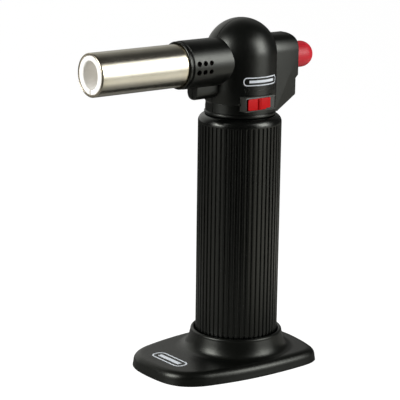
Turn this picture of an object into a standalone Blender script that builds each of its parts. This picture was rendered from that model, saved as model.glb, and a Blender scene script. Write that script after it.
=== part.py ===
"""Bench butane torch on a removable stand: fluted tank handle, two-shell head, horizontal burner.

Frame: +Z up, origin on the ground under the handle's axis, flame along -X, rear igniter button
on +X, gas slider on the -Y side. Lengths are millimetres; the meshes are scaled to metres.
Helper objects named cut_... are the operands of the booleans.
"""

import math

import bmesh
import bpy
from mathutils import Matrix, Vector

# ---------------------------------------------------------------- driving dimensions
# Names ending in _X, _Y or _Z with two values are (low, high) spans.
GAP = 0.3  # clearance between neighbouring pieces
SEAM = 0.15  # half of the gap between the two head shells

# stand
STAND_TOP = 7.2
COLLAR_Z = 17.5
COLLAR_R = 25.0
SOCKET_R = 22.7
SOCKET_FLOOR = 8.6
# Half outline of the stand's foot as (x, y), from the nose under the flame to the back.
FOOT = (
    (-58.9, 0.0), (-58.6, 7.5), (-57.8, 13.3), (-56.0, 18.3), (-53.4, 22.3), (-49.6, 25.6),
    (-44.2, 28.4), (-37.0, 30.4), (-25.0, 32.8), (-12.0, 34.3), (1.0, 34.8), (14.0, 34.5),
    (23.0, 33.8), (28.0, 32.6), (31.8, 30.3), (34.2, 26.6), (35.8, 21.5), (37.6, 12.5),
    (38.8, 0.0),
)
# Skin of the foot as (z, inset of the outline).
FOOT_LEVELS = ((0.0, 0.0), (3.2, 0.5), (5.0, 1.3), (6.4, 2.7), (STAND_TOP, 4.8))
POCKET_LEVELS = ((-2, 2.6), (3.0, 2.6), (5.0, 5.2))  # the same, for the hollow underneath

# handle
HANDLE_R = 22.3
HANDLE_BORE = 20.0
HANDLE_FOOT = 9.0
HANDLE_CEILING = 133.3
SHOULDER_Z = 136.3
NECK_HOLE = 9.4
FLUTES = 50
FLUTE_TOP = 131.6
FLUTE_DEPTH = 0.75
FLUTE_WIDTH = 1.15
FLUTE_ROOT_HALF = 0.22  # half width at the bottom of a flute
FLUTE_OVERSHOOT = 0.6  # how far the flute cutter stands out of the handle
FLUTE_FLARE = 0.28  # extra half width of the cutter out there

# tank and refill valve
TANK_FOOT = 16.0
TANK_R = 19.6
TANK_BORE = 17.2
TANK_NECK = 9.0
NECK_COLLAR_R = 10.5
NECK_COLLAR_Z = (139.85, 141.3)
PLUG_FOOT = 13.0
PLUG_SEAL_Z = 25.3
WICK_Z = (36, 119.4)
FILL_FOOT = 10.9
FILL_SEAL_Z = (17.25, 17.55)

# outlet valve and hose
HOSE_Z = 147.4  # height of the valve's side nipple
HOSE_BEND = 5.5
HOSE_R = 2.1
HOSE_BORE = 1.66
NIPPLE_R = 1.3
NIPPLE_BORE = 0.65
ELBOW_X = -14.5
GLAND_NUT_Z = (150.7, 151.6)

# gas slider and lever
BEZEL_X = (-11.6, 7.7)
BEZEL_Y = (-20.0, -14.5)
BEZEL_Z = (140.7, 148.5)
WINDOW_X = (-11.1, 7.2)
WINDOW_Z = (141.3, 147.7)
RECESS_FLOOR_Y = (-18.9, -17.7)
SLIDER_X = (-10.8, 4.4)
SLIDER_Z = (141.6, 147.4)
SLIDER_BACK = -19.3
SLIDER_FACE = -20.25
SLIDER_EDGE = SLIDER_FACE + 0.4
THUMB_RIDGE = -21.0
SLIDER_NECK_X = (-3.3, 0.6)  # shared by the stem and the fork
SLIDER_TRAVEL = 2.7
LEVER_REACH = 12.6
LEVER_AXLE_REACH = 11.9
LEVER_REST = -math.degrees(math.asin(SLIDER_TRAVEL / 2 / LEVER_AXLE_REACH))

# head
HEAD_R = 19.0
HEAD_FOOT = 136.6
NECK_R = 18.6
NECK_RING_R = 19.05
NECK_LINE = 143.6
DOME_Z = 168.4
HEAD_BORE = 17.0
FLANGE_TOP = 139.5
HOLDER_R = 12.6
HOLDER_RIM_R = 12.1
HOLDER_X = -40.2
HOLDER_STEP_X = -39.85
LUG_X = (-32.0, -17.5)
LUG_HALF = 4.25
LUG_LOW = 146.4
LUG_TOP = 158.0
LUG_CORNER_FRONT = 0.9
LUG_CORNER_BACK = 4.2
REAR_HALF = 9.5
REAR_ARC_Z = 168.2
REAR_CROWN = REAR_ARC_Z + REAR_HALF
REAR_CORNER = 5
REAR_START_X = 2
REAR_FOOT = HEAD_FOOT + 0.3
REAR_LOW_X = 30.2
REAR_HIGH_X = 31.9
REAR_STEP_Z = 154.6

# screws as (x, z, y of the seat under the head, y of the tip)
SCREWS = (
    (-25.5, 150.6, 1.4, -3.2), (24.0, 150.5, 5.5, -4.8),
    (2.0, 181.5, 6.0, -4.8), (-13.6, 142.9, 8.6, -4.8),
)
SCREW_HOLE = 1.4
COUNTERBORE = 2.45
BOSS_R = 3.7
BOSS_CORE_R = 2.4
BOSS_ROOF = 1.8  # from the screw's seat to where the boss widens

# burner
BURNER_Z = 165.5
TUBE_R = 11.2
TUBE_BORE = 10.55
MOUTH_X = -95.9
TUBE_END_X = -24.0
COLLAR_X = (-42.3, -40.5)
AIR_MID_X = -33.0
AIR_PITCH = 3.9
AIR_R = 1.15
AIR_Z = BURNER_Z - 0.35
AIR_DZ = 2.4
LINER_X = (MOUTH_X + 0.2, -77.6)
FLAME_HOLDER_X = (-72.6, -69.8)
JET_RING_R = 4.2
MIXER_X = (-69.4, -28.2)
BULKHEAD_X = (-27.8, -24.8)
JET_SEAT_X = -24.5
ELECTRODE_Z = BURNER_Z + 7.6
INSULATOR_X = (-73.6, -24.1)
ELECTRODE_START_X = -18.6
LEAD_START_X = -18.2

# igniter
BUTTON_Z = 164.5
BUTTON_R = 7.1
BUTTON_TIP = 47.7
PIEZO_X = (0, 20)
PIEZO_HALF_Y = 4.5
PIEZO_HALF_Z = 5.5
CRYSTAL_X = (4.3, 8.2)
HAMMER_X = (8.6, 12.4)

# axis and centre arguments for turned pieces
ON_BURNER = ("X", (0, BURNER_Z))
ON_ELECTRODE = ("X", (0, ELECTRODE_Z))
ON_BUTTON = ("X", (0, BUTTON_Z))
ON_HOSE = ("X", (0, HOSE_Z))


def middle(span):
    return (span[0] + span[1]) / 2


# origins of the moving pieces
BUTTON_AT = (REAR_HIGH_X, 0, BUTTON_Z)
SLIDER_AT = (middle(SLIDER_X), BEZEL_Y[0], middle(SLIDER_Z))
LEVER_AT = (0, 0, 153)
FILL_AT = (0, 0, 12)

# ---------------------------------------------------------------- materials
LOOKS = {
    "black_plastic": dict(colour=(0.018, 0.019, 0.018), roughness=0.42),
    "bezel_plastic": dict(colour=(0.045, 0.047, 0.043), roughness=0.55),
    "red_plastic": dict(colour=(0.62, 0.012, 0.018), roughness=0.3),
    "polished_steel": dict(colour=(0.72, 0.70, 0.66), roughness=0.16, metallic=1.0),
    "white_ceramic": dict(colour=(0.86, 0.85, 0.82), roughness=0.55),
    "brass": dict(colour=(0.72, 0.50, 0.20), roughness=0.3, metallic=1.0),
    "steel": dict(colour=(0.56, 0.56, 0.56), roughness=0.35, metallic=1.0),
    "rubber": dict(colour=(0.02, 0.02, 0.02), roughness=0.7),
    "tank_nylon": dict(colour=(0.80, 0.78, 0.70), roughness=0.4, transmission=0.2),
    "wick_felt": dict(colour=(0.82, 0.80, 0.74), roughness=0.95),
    "clear_hose": dict(colour=(0.75, 0.74, 0.66), roughness=0.3, transmission=0.4),
    "lead_insulation": dict(colour=(0.75, 0.1, 0.08), roughness=0.45),
    "igniter_plastic": dict(colour=(0.70, 0.66, 0.55), roughness=0.45),
}


def make_material(name, colour, roughness, metallic=0.0, transmission=0.0):
    mat = bpy.data.materials.new(name)
    mat.use_nodes = True
    inputs = mat.node_tree.nodes["Principled BSDF"].inputs
    inputs["Base Color"].default_value = (*colour, 1.0)
    inputs["Roughness"].default_value = roughness
    inputs["Metallic"].default_value = metallic
    inputs["Transmission Weight"].default_value = transmission
    mat.diffuse_color = (*colour, 1.0)
    return mat


for old in list(bpy.data.objects):
    bpy.data.objects.remove(old, do_unlink=True)

scene = bpy.context.scene
materials = {name: make_material(name, **look) for name, look in LOOKS.items()}


# ---------------------------------------------------------------- groups on the joint axes
def adopt(child, parent):
    """Parents the child without moving it."""
    child.parent = parent
    child.matrix_parent_inverse = parent.matrix_world.inverted()


def make_group(name, at=(0, 0, 0), parent=None):
    group = bpy.data.objects.new(name, None)
    scene.collection.objects.link(group)
    group.empty_display_size = 0.01
    group.location = Vector(at) * 0.001
    if parent:
        bpy.context.view_layer.update()
        adopt(group, parent)
    return group


stand_group = make_group("stand_group")
torch_group = make_group("torch_group", (0, 0, HANDLE_FOOT))
button_axis = make_group("button_axis", BUTTON_AT, torch_group)
slider_axis = make_group("slider_axis", SLIDER_AT, torch_group)
lever_axis = make_group("lever_axis", LEVER_AT, torch_group)
fill_axis = make_group("fill_axis", FILL_AT, torch_group)
bpy.context.view_layer.update()


# ---------------------------------------------------------------- objects and booleans
def outward(form):
    bmesh.ops.recalc_face_normals(form, faces=form.faces)
    if form.calc_volume(signed=True) < 0:
        bmesh.ops.reverse_faces(form, faces=form.faces)


def make_object(name, form, origin=(0, 0, 0)):
    """Turns a bmesh in world millimetres into an object whose origin is at the given point."""
    outward(form)
    form.transform(Matrix.Translation(-Vector(origin)))
    form.transform(Matrix.Scale(0.001, 4))
    mesh = bpy.data.meshes.new(name)
    form.to_mesh(mesh)
    form.free()
    obj = bpy.data.objects.new(name, mesh)
    scene.collection.objects.link(obj)
    obj.location = Vector(origin) * 0.001
    return obj


def shade(mesh, sharp=35):
    mesh.shade_smooth()
    mesh.set_sharp_from_angle(angle=math.radians(sharp))


def part(name, form, mat, origin, parent=torch_group, sharp=35):
    """A visible piece; edges above the sharp angle, in degrees, stay crisp."""
    obj = make_object(name, form, origin)
    shade(obj.data, sharp)
    obj.data.materials.append(materials[mat])
    adopt(obj, parent)
    return obj


def helper(name, form):
    """An operand of booleans, hidden in renders."""
    obj = make_object(name, form)
    obj.hide_render = True
    obj.display_type = "WIRE"
    return obj


def boolean(target, other, operation="DIFFERENCE", solver="EXACT"):
    mod = target.modifiers.new(operation.lower() + "_" + other.name, "BOOLEAN")
    mod.operation = operation
    mod.solver = solver
    mod.object = other


def cut(target, name, form, solver="EXACT"):
    boolean(target, helper(name, form), "DIFFERENCE", solver)


def fuse(target, name, form, solver="EXACT"):
    boolean(target, helper(name, form), "UNION", solver)


def bake(obj):
    """Makes the object's modifiers part of its mesh."""
    bpy.context.view_layer.update()
    graph = bpy.context.evaluated_depsgraph_get()
    mesh = bpy.data.meshes.new_from_object(obj.evaluated_get(graph))
    obj.modifiers.clear()
    obj.data = mesh


# ---------------------------------------------------------------- forms, as bmeshes
def lathe(profile, steps, axis="Z", centre=(0, 0), shift=0.0):
    """Spins a profile of (radius, height) points; shift turns it by that many steps.

    The centre is (x, y) along Z, (y, z) along X and (x, z) along Y. A profile that starts on
    the axis also ends there; any other is closed into a loop.
    """
    form = bmesh.new()
    verts = [form.verts.new((radius, 0, height)) for radius, height in profile]
    edges = [form.edges.new(pair) for pair in zip(verts, verts[1:])]
    if profile[0][0] > 0:
        edges.append(form.edges.new((verts[-1], verts[0])))
    bmesh.ops.spin(
        form, geom=verts + edges, cent=(0, 0, 0), axis=(0, 0, 1),
        angle=2 * math.pi, steps=steps, use_duplicate=False,
    )
    bmesh.ops.remove_doubles(form, verts=form.verts, dist=1e-4)
    bmesh.ops.dissolve_degenerate(form, edges=form.edges, dist=1e-5)
    form.transform(Matrix.Rotation(math.radians(shift * 360 / steps), 4, "Z"))
    first, second = centre
    form.transform({
        "X": Matrix(((0, 0, 1, 0), (0, 1, 0, first), (-1, 0, 0, second), (0, 0, 0, 1))),
        "Y": Matrix(((1, 0, 0, first), (0, 0, 1, 0), (0, -1, 0, second), (0, 0, 0, 1))),
        "Z": Matrix.Translation((first, second, 0)),
    }[axis])
    return form


def rod(radius, low, high, steps, axis="Z", centre=(0, 0), shift=0.0):
    profile = [(0, low), (radius, low), (radius, high), (0, high)]
    return lathe(profile, steps, axis, centre, shift)


def ring(inner, outer, low, high, steps, axis="Z", centre=(0, 0)):
    profile = [(inner, low), (outer, low), (outer, high), (inner, high)]
    return lathe(profile, steps, axis, centre)


def prism(outline, low, high, plane="XZ"):
    """Extrudes an outline of the named plane along the third axis."""
    place = {
        "XZ": lambda across, up, depth: (across, depth, up),
        "YZ": lambda across, up, depth: (depth, across, up),
        "XY": lambda across, up, depth: (across, up, depth),
    }[plane]
    form = bmesh.new()
    face = form.faces.new([form.verts.new(place(across, up, low)) for across, up in outline])
    grown = bmesh.ops.extrude_face_region(form, geom=[face])
    moved = [item for item in grown["geom"] if isinstance(item, bmesh.types.BMVert)]
    bmesh.ops.translate(form, verts=moved, vec=Vector(place(0, 0, high - low)))
    return form


def block(x, y, z):
    """A box from its three (low, high) spans."""
    return prism([(x[0], z[0]), (x[1], z[0]), (x[1], z[1]), (x[0], z[1])], y[0], y[1])


def bridge(form, first, second):
    """Quads between two loops of vertices."""
    count = len(first)
    for k in range(count):
        after = (k + 1) % count
        form.faces.new((first[k], first[after], second[after], second[k]))


def loft(outlines):
    """A skin through stacked outlines of points, closed at both ends."""
    form = bmesh.new()
    loops = [[form.verts.new(point) for point in outline] for outline in outlines]
    for pair in zip(loops, loops[1:]):
        bridge(form, *pair)
    form.faces.new(loops[0])
    form.faces.new(loops[-1])
    return form


def pipe(points, outer, steps, inner=0.0):
    """A round rod, or a pipe when inner is given, along a polyline of world points."""
    points = [Vector(point) for point in points]
    form = bmesh.new()
    radii = (outer, inner) if inner else (outer,)
    walls = [[] for _ in radii]
    turns = [2 * math.pi * k / steps for k in range(steps)]
    side = None
    for i, point in enumerate(points):
        tangent = (points[min(i + 1, len(points) - 1)] - points[max(i - 1, 0)]).normalized()
        if side is None:
            side = tangent.orthogonal().normalized()
        side = (side - tangent * side.dot(tangent)).normalized()
        up = tangent.cross(side)
        for radius, loops in zip(radii, walls):
            loops.append([
                form.verts.new(point + (side * math.cos(turn) + up * math.sin(turn)) * radius)
                for turn in turns
            ])
    for loops in walls:
        for pair in zip(loops, loops[1:]):
            bridge(form, *pair)
    for end in (0, -1):
        if inner:
            bridge(form, walls[0][end], walls[1][end])
        else:
            form.faces.new(walls[0][end])
    return form


def merge(forms):
    """Puts several bmeshes into one, for a cutter of many bodies."""
    merged = bmesh.new()
    for form in forms:
        mesh = bpy.data.meshes.new("merge")
        outward(form)
        form.to_mesh(mesh)
        form.free()
        merged.from_mesh(mesh)
        bpy.data.meshes.remove(mesh)
    return merged


# ---------------------------------------------------------------- curves, as lists of points
def arc(across, up, radius, start, end, count):
    """Points on an arc about (across, up), between two angles in degrees."""
    angles = [math.radians(start + (end - start) * i / count) for i in range(count + 1)]
    return [(across + radius * math.cos(a), up + radius * math.sin(a)) for a in angles]


def helix(radius, low, high, turns, per_turn, axis="Z", centre=(0, 0)):
    """A coil with one more, nearly flat turn at each end."""
    end_climb = 0.28  # lets an end turn clear the next one
    points = []
    for i in range((turns + 2) * per_turn + 1):
        turn = i / per_turn
        height = low + (high - low) * min(max((turn - 1) / turns, 0), 1)
        height += end_climb * (min(turn, 1) + max(turn - turns - 1, 0))
        first = centre[0] + radius * math.cos(2 * math.pi * turn)
        second = centre[1] + radius * math.sin(2 * math.pi * turn)
        points.append((height, first, second) if axis == "X" else (first, second, height))
    return points


def smooth_path(points, count):
    """A Catmull-Rom curve through the points, with count steps between neighbours."""
    knots = [Vector(point) for point in points]
    knots = [knots[0] * 2 - knots[1]] + knots + [knots[-1] * 2 - knots[-2]]
    path = []
    for before, start, end, after in zip(knots, knots[1:], knots[2:], knots[3:]):
        for k in range(count):
            t = k / count
            path.append(0.5 * (
                2 * start
                + (end - before) * t
                + (2 * before - 5 * start + 4 * end - after) * t * t
                + (3 * start - before - 3 * end + after) * t ** 3
            ))
    path.append(knots[-2])
    return path


# ---------------------------------------------------------------- stand
def foot_outline(z, inset):
    """The whole foot outline at height z, drawn inwards along its normals."""
    mirrored = [(x, -y) for x, y in reversed(FOOT[1:-1])]
    full = [Vector(point) for point in (*FOOT, *mirrored)]
    centre = Vector((-8, 0))
    outline = []
    for i, point in enumerate(full):
        along = (full[(i + 1) % len(full)] - full[i - 1]).normalized()
        normal = Vector((-along.y, along.x))
        if normal.dot(point - centre) < 0:
            normal = -normal
        moved = point - normal * inset
        outline.append((moved.x, moved.y, z))
    return outline


def make_stand():
    """Foot with a turned collar, a ribbed hollow underneath and the handle's socket."""
    foot = loft([foot_outline(*level) for level in FOOT_LEVELS])
    stand = part("base_stand", foot, "black_plastic", (0, 0, 0), stand_group, sharp=50)
    fuse(stand, "cut_collar", lathe(
        [(15, 4.0), (31.5, 4.0), (31.2, 6.9), (29.6, 7.5), (28.0, 8.9), (26.9, 11.0),
         (26.2, 13.6), (25.6, 16.4), (COLLAR_R, 17.2), (24.3, COLLAR_Z),
         (SOCKET_R - 0.1, COLLAR_Z), (15, COLLAR_Z)], 48
    ))

    # A round pad and two crossing ribs are left standing in the hollow.
    pocket = helper("cut_pocket", loft([foot_outline(*level) for level in POCKET_LEVELS]))
    rib_half, rib_z = (-0.8, 0.8), (1.2, 9)
    cut(pocket, "cut_pad", rod(9.0, -5, 12, 24))
    cut(pocket, "cut_rib_0", block((-70, 50), rib_half, rib_z))
    cut(pocket, "cut_rib_1", block(rib_half, (-40, 40), rib_z))
    bake(pocket)
    boolean(stand, pocket)
    cut(stand, "cut_socket", rod(SOCKET_R, SOCKET_FLOOR, 30, 48))


# ---------------------------------------------------------------- handle and tank
def flute_form(number):
    """Cutter of one flute, centred on a facet of the handle."""
    angle = 2 * math.pi * (number + 0.5) / FLUTES
    radial = Vector((math.cos(angle), math.sin(angle), 0))
    side = Vector((-math.sin(angle), math.cos(angle), 0))
    facet = HANDLE_R * math.cos(math.pi / FLUTES)
    root = radial * (facet - FLUTE_DEPTH)
    mouth = radial * (facet + FLUTE_OVERSHOOT)
    mouth_half = FLUTE_WIDTH / 2 + FLUTE_FLARE
    section = (
        root + side * FLUTE_ROOT_HALF, root - side * FLUTE_ROOT_HALF,
        mouth - side * mouth_half, mouth + side * mouth_half,
    )
    heights = (HANDLE_FOOT - 2, FLUTE_TOP)
    return loft([[point + Vector((0, 0, z)) for point in section] for z in heights])


def make_handle():
    sleeve = lathe(
        [(HANDLE_BORE, HANDLE_FOOT), (HANDLE_R - 0.5, HANDLE_FOOT), (HANDLE_R, HANDLE_FOOT + 0.7),
         (HANDLE_R, 132.2), (22.0, 133.7), (21.3, 135.0), (20.2, 136.0), (19.2, SHOULDER_Z),
         (NECK_HOLE, SHOULDER_Z), (NECK_HOLE, HANDLE_CEILING), (HANDLE_BORE, HANDLE_CEILING)],
        FLUTES,
    )
    handle = part("handle_sleeve", sleeve, "black_plastic", (0, 0, HANDLE_FOOT), sharp=25)
    cut(handle, "cut_flutes", merge([flute_form(k) for k in range(FLUTES)]))


def make_tank():
    """Tank, its end plug and seal, and the wick."""
    tank = lathe(
        [(TANK_BORE, TANK_FOOT), (TANK_R, TANK_FOOT), (TANK_R, 127.5), (18.2, 130.4),
         (TANK_NECK, 132.0), (TANK_NECK, NECK_COLLAR_Z[0]), (NECK_COLLAR_R, NECK_COLLAR_Z[0]),
         (NECK_COLLAR_R, NECK_COLLAR_Z[1]), (5.0, NECK_COLLAR_Z[1]), (5.0, 124.5),
         (15.5, 123.2), (TANK_BORE, 120.5)], 32
    )
    part("fuel_tank", tank, "tank_nylon", (0, 0, TANK_FOOT))
    plug = lathe(
        [(4.3, PLUG_FOOT), (19.4, PLUG_FOOT), (19.4, 15.6), (16.8, 15.6), (16.8, 24.0),
         (15.0, 24.0), (15.0, 26.6), (16.8, 26.6), (16.8, 30.0), (4.3, 30.0)], 24
    )
    part("tank_end_plug", plug, "tank_nylon", (0, 0, PLUG_FOOT))
    seal = lathe(arc(16.05, PLUG_SEAL_Z, 0.78, 0, 288, 4), 24)  # five-sided section
    part("plug_seal", seal, "rubber", (0, 0, PLUG_SEAL_Z), sharp=80)
    part("fuel_wick", rod(3.2, *WICK_Z, 12), "wick_felt", (0, 0, WICK_Z[0]))


def make_fill_valve():
    """Refill valve in the tank's lower end."""
    body = lathe(
        [(1.6, FILL_FOOT), (6.0, FILL_FOOT), (6.0, 12.6), (4.0, 12.6), (4.0, 31.5),
         (1.2, 31.5), (1.2, 28.8), (2.9, 28.8), (2.9, 17.0), (1.6, 17.0)], 16
    )
    part("fill_valve_body", body, "brass", (0, 0, FILL_FOOT))
    stem = lathe(
        [(0, 9.9), (1.1, 9.9), (1.25, 10.2), (1.25, 17.8), (2.4, 17.8), (2.4, 19.0),
         (0.85, 19.0), (0.85, 26.0), (0, 26.0)], 12
    )
    part("fill_valve_stem", stem, "brass", FILL_AT, fill_axis)
    spring = pipe(helix(1.8, 19.6, 27.6, 4, 8), 0.28, 4)
    part("fill_valve_spring", spring, "steel", (0, 0, 19.3), sharp=80)
    seal = ring(1.5, 2.6, *FILL_SEAL_Z, 12)
    part("fill_valve_seal", seal, "rubber", (0, 0, FILL_SEAL_Z[0]))


# ---------------------------------------------------------------- outlet valve and its controls
def make_outlet_valve():
    """Valve body with a side nipple towards the burner, its gasket and gland nut."""
    body = lathe(
        [(0.8, 121.0), (3.6, 121.0), (3.6, 117.2), (4.6, 117.2), (4.6, 142.3), (7.6, 142.3),
         (7.6, 144.0), (3.6, 144.0), (3.6, 150.4), (1.7, 150.4), (1.7, 134.0), (0.8, 133.2)], 16
    )
    valve = part("outlet_valve_body", body, "brass", (0, 0, 142.3))
    fuse(valve, "cut_nipple", rod(NIPPLE_R, -9.4, -2.8, 12, *ON_HOSE))
    cut(valve, "cut_nipple_bore", rod(NIPPLE_BORE, -12, -0.5, 8, *ON_HOSE))
    part("valve_gasket", ring(5.0, 8.6, 141.55, 142.05, 20), "rubber", (0, 0, 141.6))
    nut = ring(1.75, 3.4, *GLAND_NUT_Z, 6)
    part("valve_gland_nut", nut, "brass", (0, 0, GLAND_NUT_Z[0]), sharp=20)


def make_lever():
    """Spindle on the valve's axis and the lever that turns with it."""
    spindle = lathe([(0, 134.6), (1.35, 136.2), (1.35, 155.2), (1.0, 155.6), (0, 155.6)], 12)
    part("flow_spindle", spindle, "brass", LEVER_AT, lever_axis)
    # Drawn along +X, then turned to point along -Y.
    arm = prism(
        [(2.2, 152.1), (8.2, 152.1), (8.2, 143.0), (LEVER_REACH, 143.0), (LEVER_REACH, 145.4),
         (10.1, 145.4), (10.1, 154.0), (2.2, 154.0)], -1.5, 1.5
    )
    arm.transform(Matrix.Rotation(math.radians(-90 + LEVER_REST), 4, "Z"))
    lever = part("flow_lever", arm, "steel", LEVER_AT, lever_axis)
    fuse(lever, "cut_lever_hub", rod(4.0, 151.9, 154.2, 16))
    cut(lever, "cut_lever_bore", rod(1.65, 150, 156, 12))


def make_slider():
    """Red slider with a thumb ridge; stem, keeper and fork reach inwards to the lever."""
    left, right = SLIDER_X
    plate = prism(
        [(left, SLIDER_BACK), (left, SLIDER_EDGE), (left + 0.4, SLIDER_FACE),
         (-4.75, SLIDER_FACE), (-4.45, THUMB_RIDGE), (-3.65, THUMB_RIDGE),
         (-3.35, SLIDER_FACE), (right - 0.4, SLIDER_FACE), (right, SLIDER_EDGE),
         (right, SLIDER_BACK)], *SLIDER_Z, "XY"
    )
    slider = part("flow_slider", plate, "red_plastic", SLIDER_AT, slider_axis, sharp=20)
    fuse(slider, "cut_slider_stem", block(SLIDER_NECK_X, (-19.7, -13.6), (143.3, 145.1)))
    fuse(slider, "cut_slider_keeper", block((-6.3, 3.6), (-14.1, -11.3), (141.0, 148.4)))
    cut(slider, "cut_slider_fork", block(SLIDER_NECK_X, (-12.9, -10.0), (142.6, 145.8)))


def make_bezel():
    """Frame of the slider: a recess on each side of a thin floor, and a slit for the stem."""
    origin = (middle(BEZEL_X), BEZEL_Y[0], middle(BEZEL_Z))
    bezel = part("slider_bezel", block(BEZEL_X, BEZEL_Y, BEZEL_Z), "bezel_plastic", origin)
    for number, span in enumerate(((-22, RECESS_FLOOR_Y[0]), (RECESS_FLOOR_Y[1], -14))):
        cut(bezel, f"cut_recess_{number}", block(WINDOW_X, span, WINDOW_Z))
    cut(bezel, "cut_slit", block((-3.7, 3.7), (-19.5, -17), (142.9, 145.5)))


# ---------------------------------------------------------------- head shells
def make_lug():
    """Lug under the holder: round along its lower edge, square in front, rounded behind."""
    section = [(LUG_HALF, LUG_TOP), (-LUG_HALF, LUG_TOP)]
    section += arc(0, LUG_LOW + LUG_HALF, LUG_HALF, 180, 360, 10)
    lug = helper("cut_lug", prism(section, *LUG_X, "YZ"))
    front, back = LUG_CORNER_FRONT, LUG_CORNER_BACK
    outline = (
        arc(LUG_X[0] + front, LUG_LOW + front, front, 180, 270, 2)
        + arc(LUG_X[1] - back, LUG_LOW + back, back, 270, 360, 4)
        + [(LUG_X[1], LUG_TOP), (LUG_X[0], LUG_TOP)]
    )
    boolean(lug, helper("cut_lug_side", prism(outline, -9, 9)), "INTERSECT")
    bake(lug)
    return lug


def make_rear():
    """Igniter housing behind the head: an arched section crossed with a side outline."""
    section = (
        [(REAR_HALF, 130.0)] + arc(0, REAR_ARC_Z, REAR_HALF, 0, 180, 12) + [(-REAR_HALF, 130.0)]
    )
    rear = helper("cut_rear", prism(section, 4, 45, "YZ"))
    outline = [
        (REAR_START_X, REAR_FOOT), (17.8, REAR_FOOT), (REAR_LOW_X, 144.9),
        (REAR_LOW_X, REAR_STEP_Z - 1.2), (REAR_HIGH_X, REAR_STEP_Z + 0.6),
    ]
    outline += arc(REAR_HIGH_X - REAR_CORNER, REAR_CROWN - REAR_CORNER, REAR_CORNER, 0, 90, 5)
    outline.append((REAR_START_X, REAR_CROWN))
    boolean(rear, helper("cut_rear_side", prism(outline, -20, 20)), "INTERSECT")
    bake(rear)
    return rear


def make_head_outer():
    """Solid outer form: domed body, burner holder, lug and igniter housing."""
    body = [
        (0, HEAD_FOOT), (18.4, HEAD_FOOT), (NECK_RING_R, 137.2), (NECK_RING_R, 138.0),
        (NECK_R - 0.1, 138.3), (NECK_R, 138.6), (NECK_R, NECK_LINE - 0.3),
        (NECK_R - 0.1, NECK_LINE - 0.1), (HEAD_R, NECK_LINE + 0.2),
    ]
    body += arc(0, DOME_Z, HEAD_R, 0, 90, 7)
    outer = helper("cut_head_outer", lathe(body, 40, shift=0.5))
    holder = [
        (0, HOLDER_X), (HOLDER_RIM_R, HOLDER_X), (HOLDER_RIM_R, HOLDER_STEP_X),
        (HOLDER_R, HOLDER_STEP_X), (HOLDER_R, -6), (0, -6),
    ]
    fuse(outer, "cut_holder", lathe(holder, 32, *ON_BURNER, shift=0.5))
    boolean(outer, make_lug(), "UNION")
    boolean(outer, make_rear(), "UNION")
    bake(outer)
    return outer


def make_head_space():
    """Inner space, with the screw bosses and the igniter's cradle left standing in it."""
    profile = [(0, FLANGE_TOP), (16.6, FLANGE_TOP), (HEAD_BORE, FLANGE_TOP + 0.4)]
    profile += arc(0, DOME_Z, HEAD_BORE, 0, 90, 5)
    space = helper("cut_space", lathe(profile, 24, shift=0.5))
    low_outline = [(11, 140.4), (18.4, 140.4), (28.2, 147.0), (28.2, 157.5), (11, 157.5)]
    holder_bore = rod(TUBE_R + GAP, -45, TUBE_END_X + 0.4, 32, *ON_BURNER, shift=0.5)
    for name, form in (
        ("cut_rear_space", rod(8.5, 9, 29.8, 24, *ON_BUTTON, shift=0.5)),
        ("cut_low_space", prism(low_outline, -7.6, 7.6)),
        ("cut_throat", rod(9.0, -25, -12, 24, *ON_BURNER, shift=0.5)),
        ("cut_holder_bore", holder_bore),
        ("cut_neck_bore", rod(NECK_HOLE, 130, 141, 24)),
        ("cut_button_bore", rod(BUTTON_R + GAP, 28, 40, 24, *ON_BUTTON, shift=0.5)),
    ):
        fuse(space, name, form, "MANIFOLD")
    # The first screw sits in the solid lug and needs no boss.
    for number, (x, z, seat, _) in enumerate(SCREWS[1:]):
        roof = seat - BOSS_ROOF
        boss = [
            (0, -24), (BOSS_CORE_R, -24), (BOSS_CORE_R, roof), (BOSS_R, roof), (BOSS_R, 24), (0, 24)
        ]
        cut(space, f"cut_boss_{number}", lathe(boss, 10, "Y", (x, z), shift=11 / 36), "MANIFOLD")
    cradle = helper("cut_cradle", block((6.0, 7.6), (-20, 20), (155.5, 173.5)))
    cut(cradle, "cut_cradle_hole", block((5, 9), (-4.9, 4.9), (158.6, 170.4)))
    bake(cradle)
    boolean(space, cradle, solver="MANIFOLD")
    bake(space)
    return space


def make_shell(outer, name, side):
    """One half of the hollow head; side is -1 for the -Y half, which holds the slider."""
    mesh = outer.data.copy()
    mesh.name = name
    mesh.materials.clear()
    mesh.materials.append(materials["black_plastic"])
    shell = bpy.data.objects.new(name, mesh)
    scene.collection.objects.link(shell)
    adopt(shell, torch_group)
    span = (-60, -SEAM) if side < 0 else (SEAM, 60)
    half = helper(f"cut_half_{side}", block((-80, 80), span, (100, 220)))
    boolean(shell, half, "INTERSECT", "MANIFOLD")
    if side < 0:
        opening = block(
            (BEZEL_X[0] - GAP, BEZEL_X[1] + GAP), (-30, -13.5),
            (BEZEL_Z[0] - GAP, BEZEL_Z[1] + GAP),
        )
        cut(shell, "cut_window", opening, "MANIFOLD")
        holes = [rod(SCREW_HOLE, tip - 0.4, 2, 10, "Y", (x, z)) for x, z, _, tip in SCREWS]
    else:
        sinks = [rod(COUNTERBORE, seat, 30, 12, "Y", (x, z)) for x, z, seat, _ in SCREWS]
        cut(shell, "cut_counterbores", merge(sinks), "MANIFOLD")
        holes = [rod(SCREW_HOLE, -2, seat + 0.5, 10, "Y", (x, z)) for x, z, seat, _ in SCREWS]
    cut(shell, f"cut_holes_{side}", merge(holes), "MANIFOLD")
    bake(shell)
    shade(shell.data)


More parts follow.
